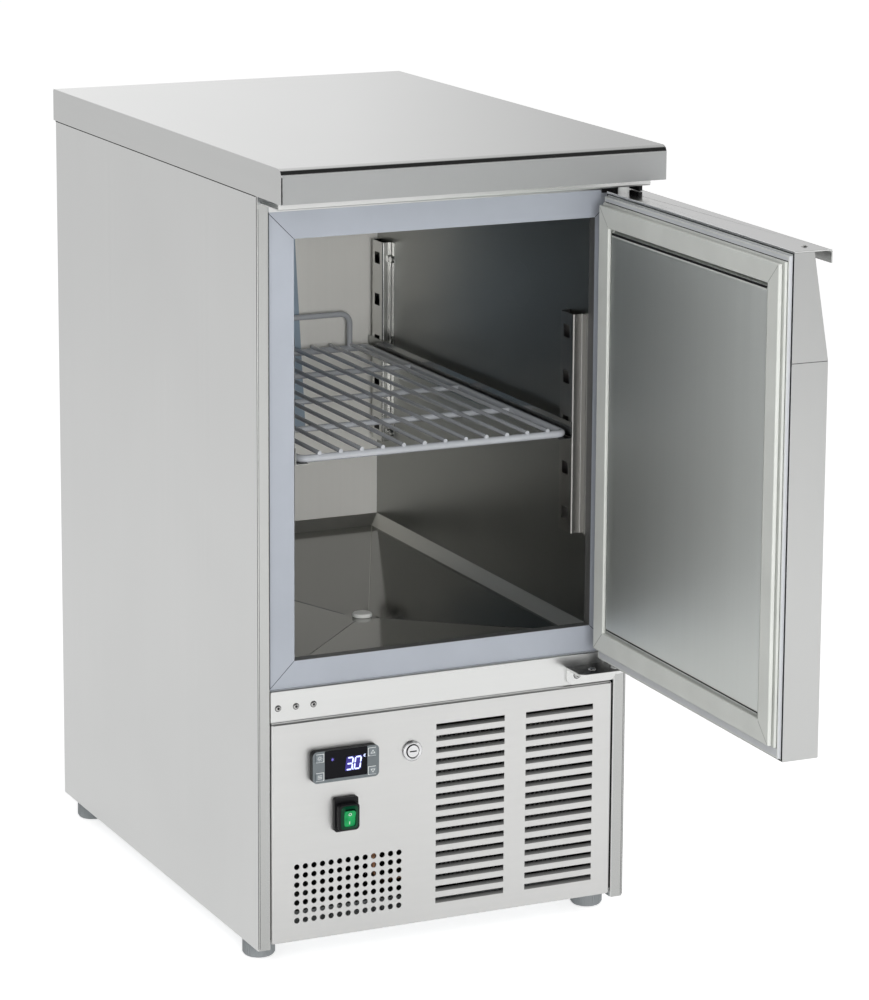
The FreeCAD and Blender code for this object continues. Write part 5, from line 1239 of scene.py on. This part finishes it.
def seen(tree, path):
    """Marks the rays that come from the camera, straight or through something clear."""
    return combined(tree, "MAXIMUM", path.outputs["Is Camera Ray"], path.outputs["Is Transmission Ray"])


def mixed(tree, factor, a, b):
    """Two shaders mixed by a factor."""
    node = tree.nodes.new("ShaderNodeMixShader")
    tree.links.new(factor, node.inputs["Fac"])
    tree.links.new(a.outputs[0], node.inputs[1])
    tree.links.new(b.outputs[0], node.inputs[2])
    return node


def floor_look():
    """Pale matt floor that also glows for the camera and in metal."""
    mat = bpy.data.materials.new("floor")
    mat.use_nodes = True
    tree = mat.node_tree
    tree.nodes.clear()
    out = tree.nodes.new("ShaderNodeOutputMaterial")
    matte = tree.nodes.new("ShaderNodeBsdfDiffuse")
    matte.inputs["Color"].default_value = (*grey(FLOOR_TONE), 1.0)
    glow = tree.nodes.new("ShaderNodeEmission")
    path = tree.nodes.new("ShaderNodeLightPath")
    straight = spread(tree, seen(tree, path), 0.0, FLOOR_SEEN, 0.0, 1.0)
    in_metal = spread(tree, path.outputs["Is Glossy Ray"], 0.0, FLOOR_MIRRORED, 0.0, 1.0)
    tree.links.new(combined(tree, "MAXIMUM", straight, in_metal), glow.inputs["Strength"])
    both = tree.nodes.new("ShaderNodeAddShader")
    tree.links.new(matte.outputs[0], both.inputs[0])
    tree.links.new(glow.outputs[0], both.inputs[1])
    tree.links.new(both.outputs[0], out.inputs["Surface"])
    return mat


def floor():
    """A floor that shows white to the camera and keeps a soft shadow."""
    bm = bmesh.new()
    bmesh.ops.create_grid(bm, x_segments=2, y_segments=2, size=FLOOR_HALF)
    obj = placed("floor", finished("floor", bm, floor_look()))
    obj.location.z = -FLOOR_DROP


def mirror_tones(tree):
    """What metal shows: greys across the rear half, and white to dark going up on the camera's half."""
    rear = grey_ramp(tree, axis_of(tree, "Generated", "X"), REAR_TONES)
    front = grey_ramp(tree, axis_of(tree, "Generated", "Z"), FRONT_TONES)
    ahead = spread(tree, axis_of(tree, "Generated", "Y"), 1.0, 0.0, -TURN_HALF, TURN_HALF)
    return blended(tree, "MIX", ahead, rear, front)


def world():
    """A plain level of light that is white for the camera and has its own tones in metal."""
    scene_world = bpy.data.worlds.new("studio")
    bpy.context.scene.world = scene_world
    scene_world.use_nodes = True
    tree = scene_world.node_tree
    tree.nodes.clear()
    out = tree.nodes.new("ShaderNodeOutputWorld")
    light = tree.nodes.new("ShaderNodeBackground")
    light.inputs["Strength"].default_value = WORLD_LEVEL
    white = tree.nodes.new("ShaderNodeBackground")
    white.inputs["Color"].default_value = (1.0, 1.0, 1.0, 1.0)
    mirror = tree.nodes.new("ShaderNodeBackground")
    tree.links.new(mirror_tones(tree), mirror.inputs["Color"])
    path = tree.nodes.new("ShaderNodeLightPath")
    lit = mixed(tree, path.outputs["Is Glossy Ray"], light, mirror)
    tree.links.new(mixed(tree, seen(tree, path), lit, white).outputs[0], out.inputs["Surface"])


def lamp(name, place, target, size, power):
    """A soft square lamp that metal does not mirror."""
    data = bpy.data.lights.new(name, "AREA")
    data.shape = "SQUARE"
    data.size = size
    data.energy = power
    obj = placed(name, data)
    obj.location = place
    obj.rotation_euler = (Vector(target) - Vector(place)).to_track_quat("-Z", "Y").to_euler()
    obj.visible_glossy = False


def camera():
    """The photo's camera."""
    data = bpy.data.cameras.new("camera")
    data.sensor_width = CAMERA_SENSOR
    data.lens = CAMERA_LENS
    data.shift_y = CAMERA_SHIFT
    data.clip_end = CAMERA_REACH
    obj = placed("camera", data)
    level = math.cos(CAMERA_PITCH)
    ahead = Vector((math.sin(CAMERA_YAW) * level, math.cos(CAMERA_YAW) * level, math.sin(CAMERA_PITCH)))
    right = Vector((math.cos(CAMERA_YAW), -math.sin(CAMERA_YAW), 0.0))
    up = right.cross(ahead)
    c, s = math.cos(CAMERA_ROLL), math.sin(CAMERA_ROLL)
    right, up = right * c + up * s, up * c - right * s
    turn = Matrix((right, up, -ahead)).transposed()
    obj.matrix_world = Matrix.Translation(CAMERA_PLACE) @ turn.to_4x4()
    bpy.context.scene.camera = obj


floor()
world()
for row in LAMPS:
    lamp(*row)
camera()
bpy.context.scene.view_settings.view_transform = "Standard"
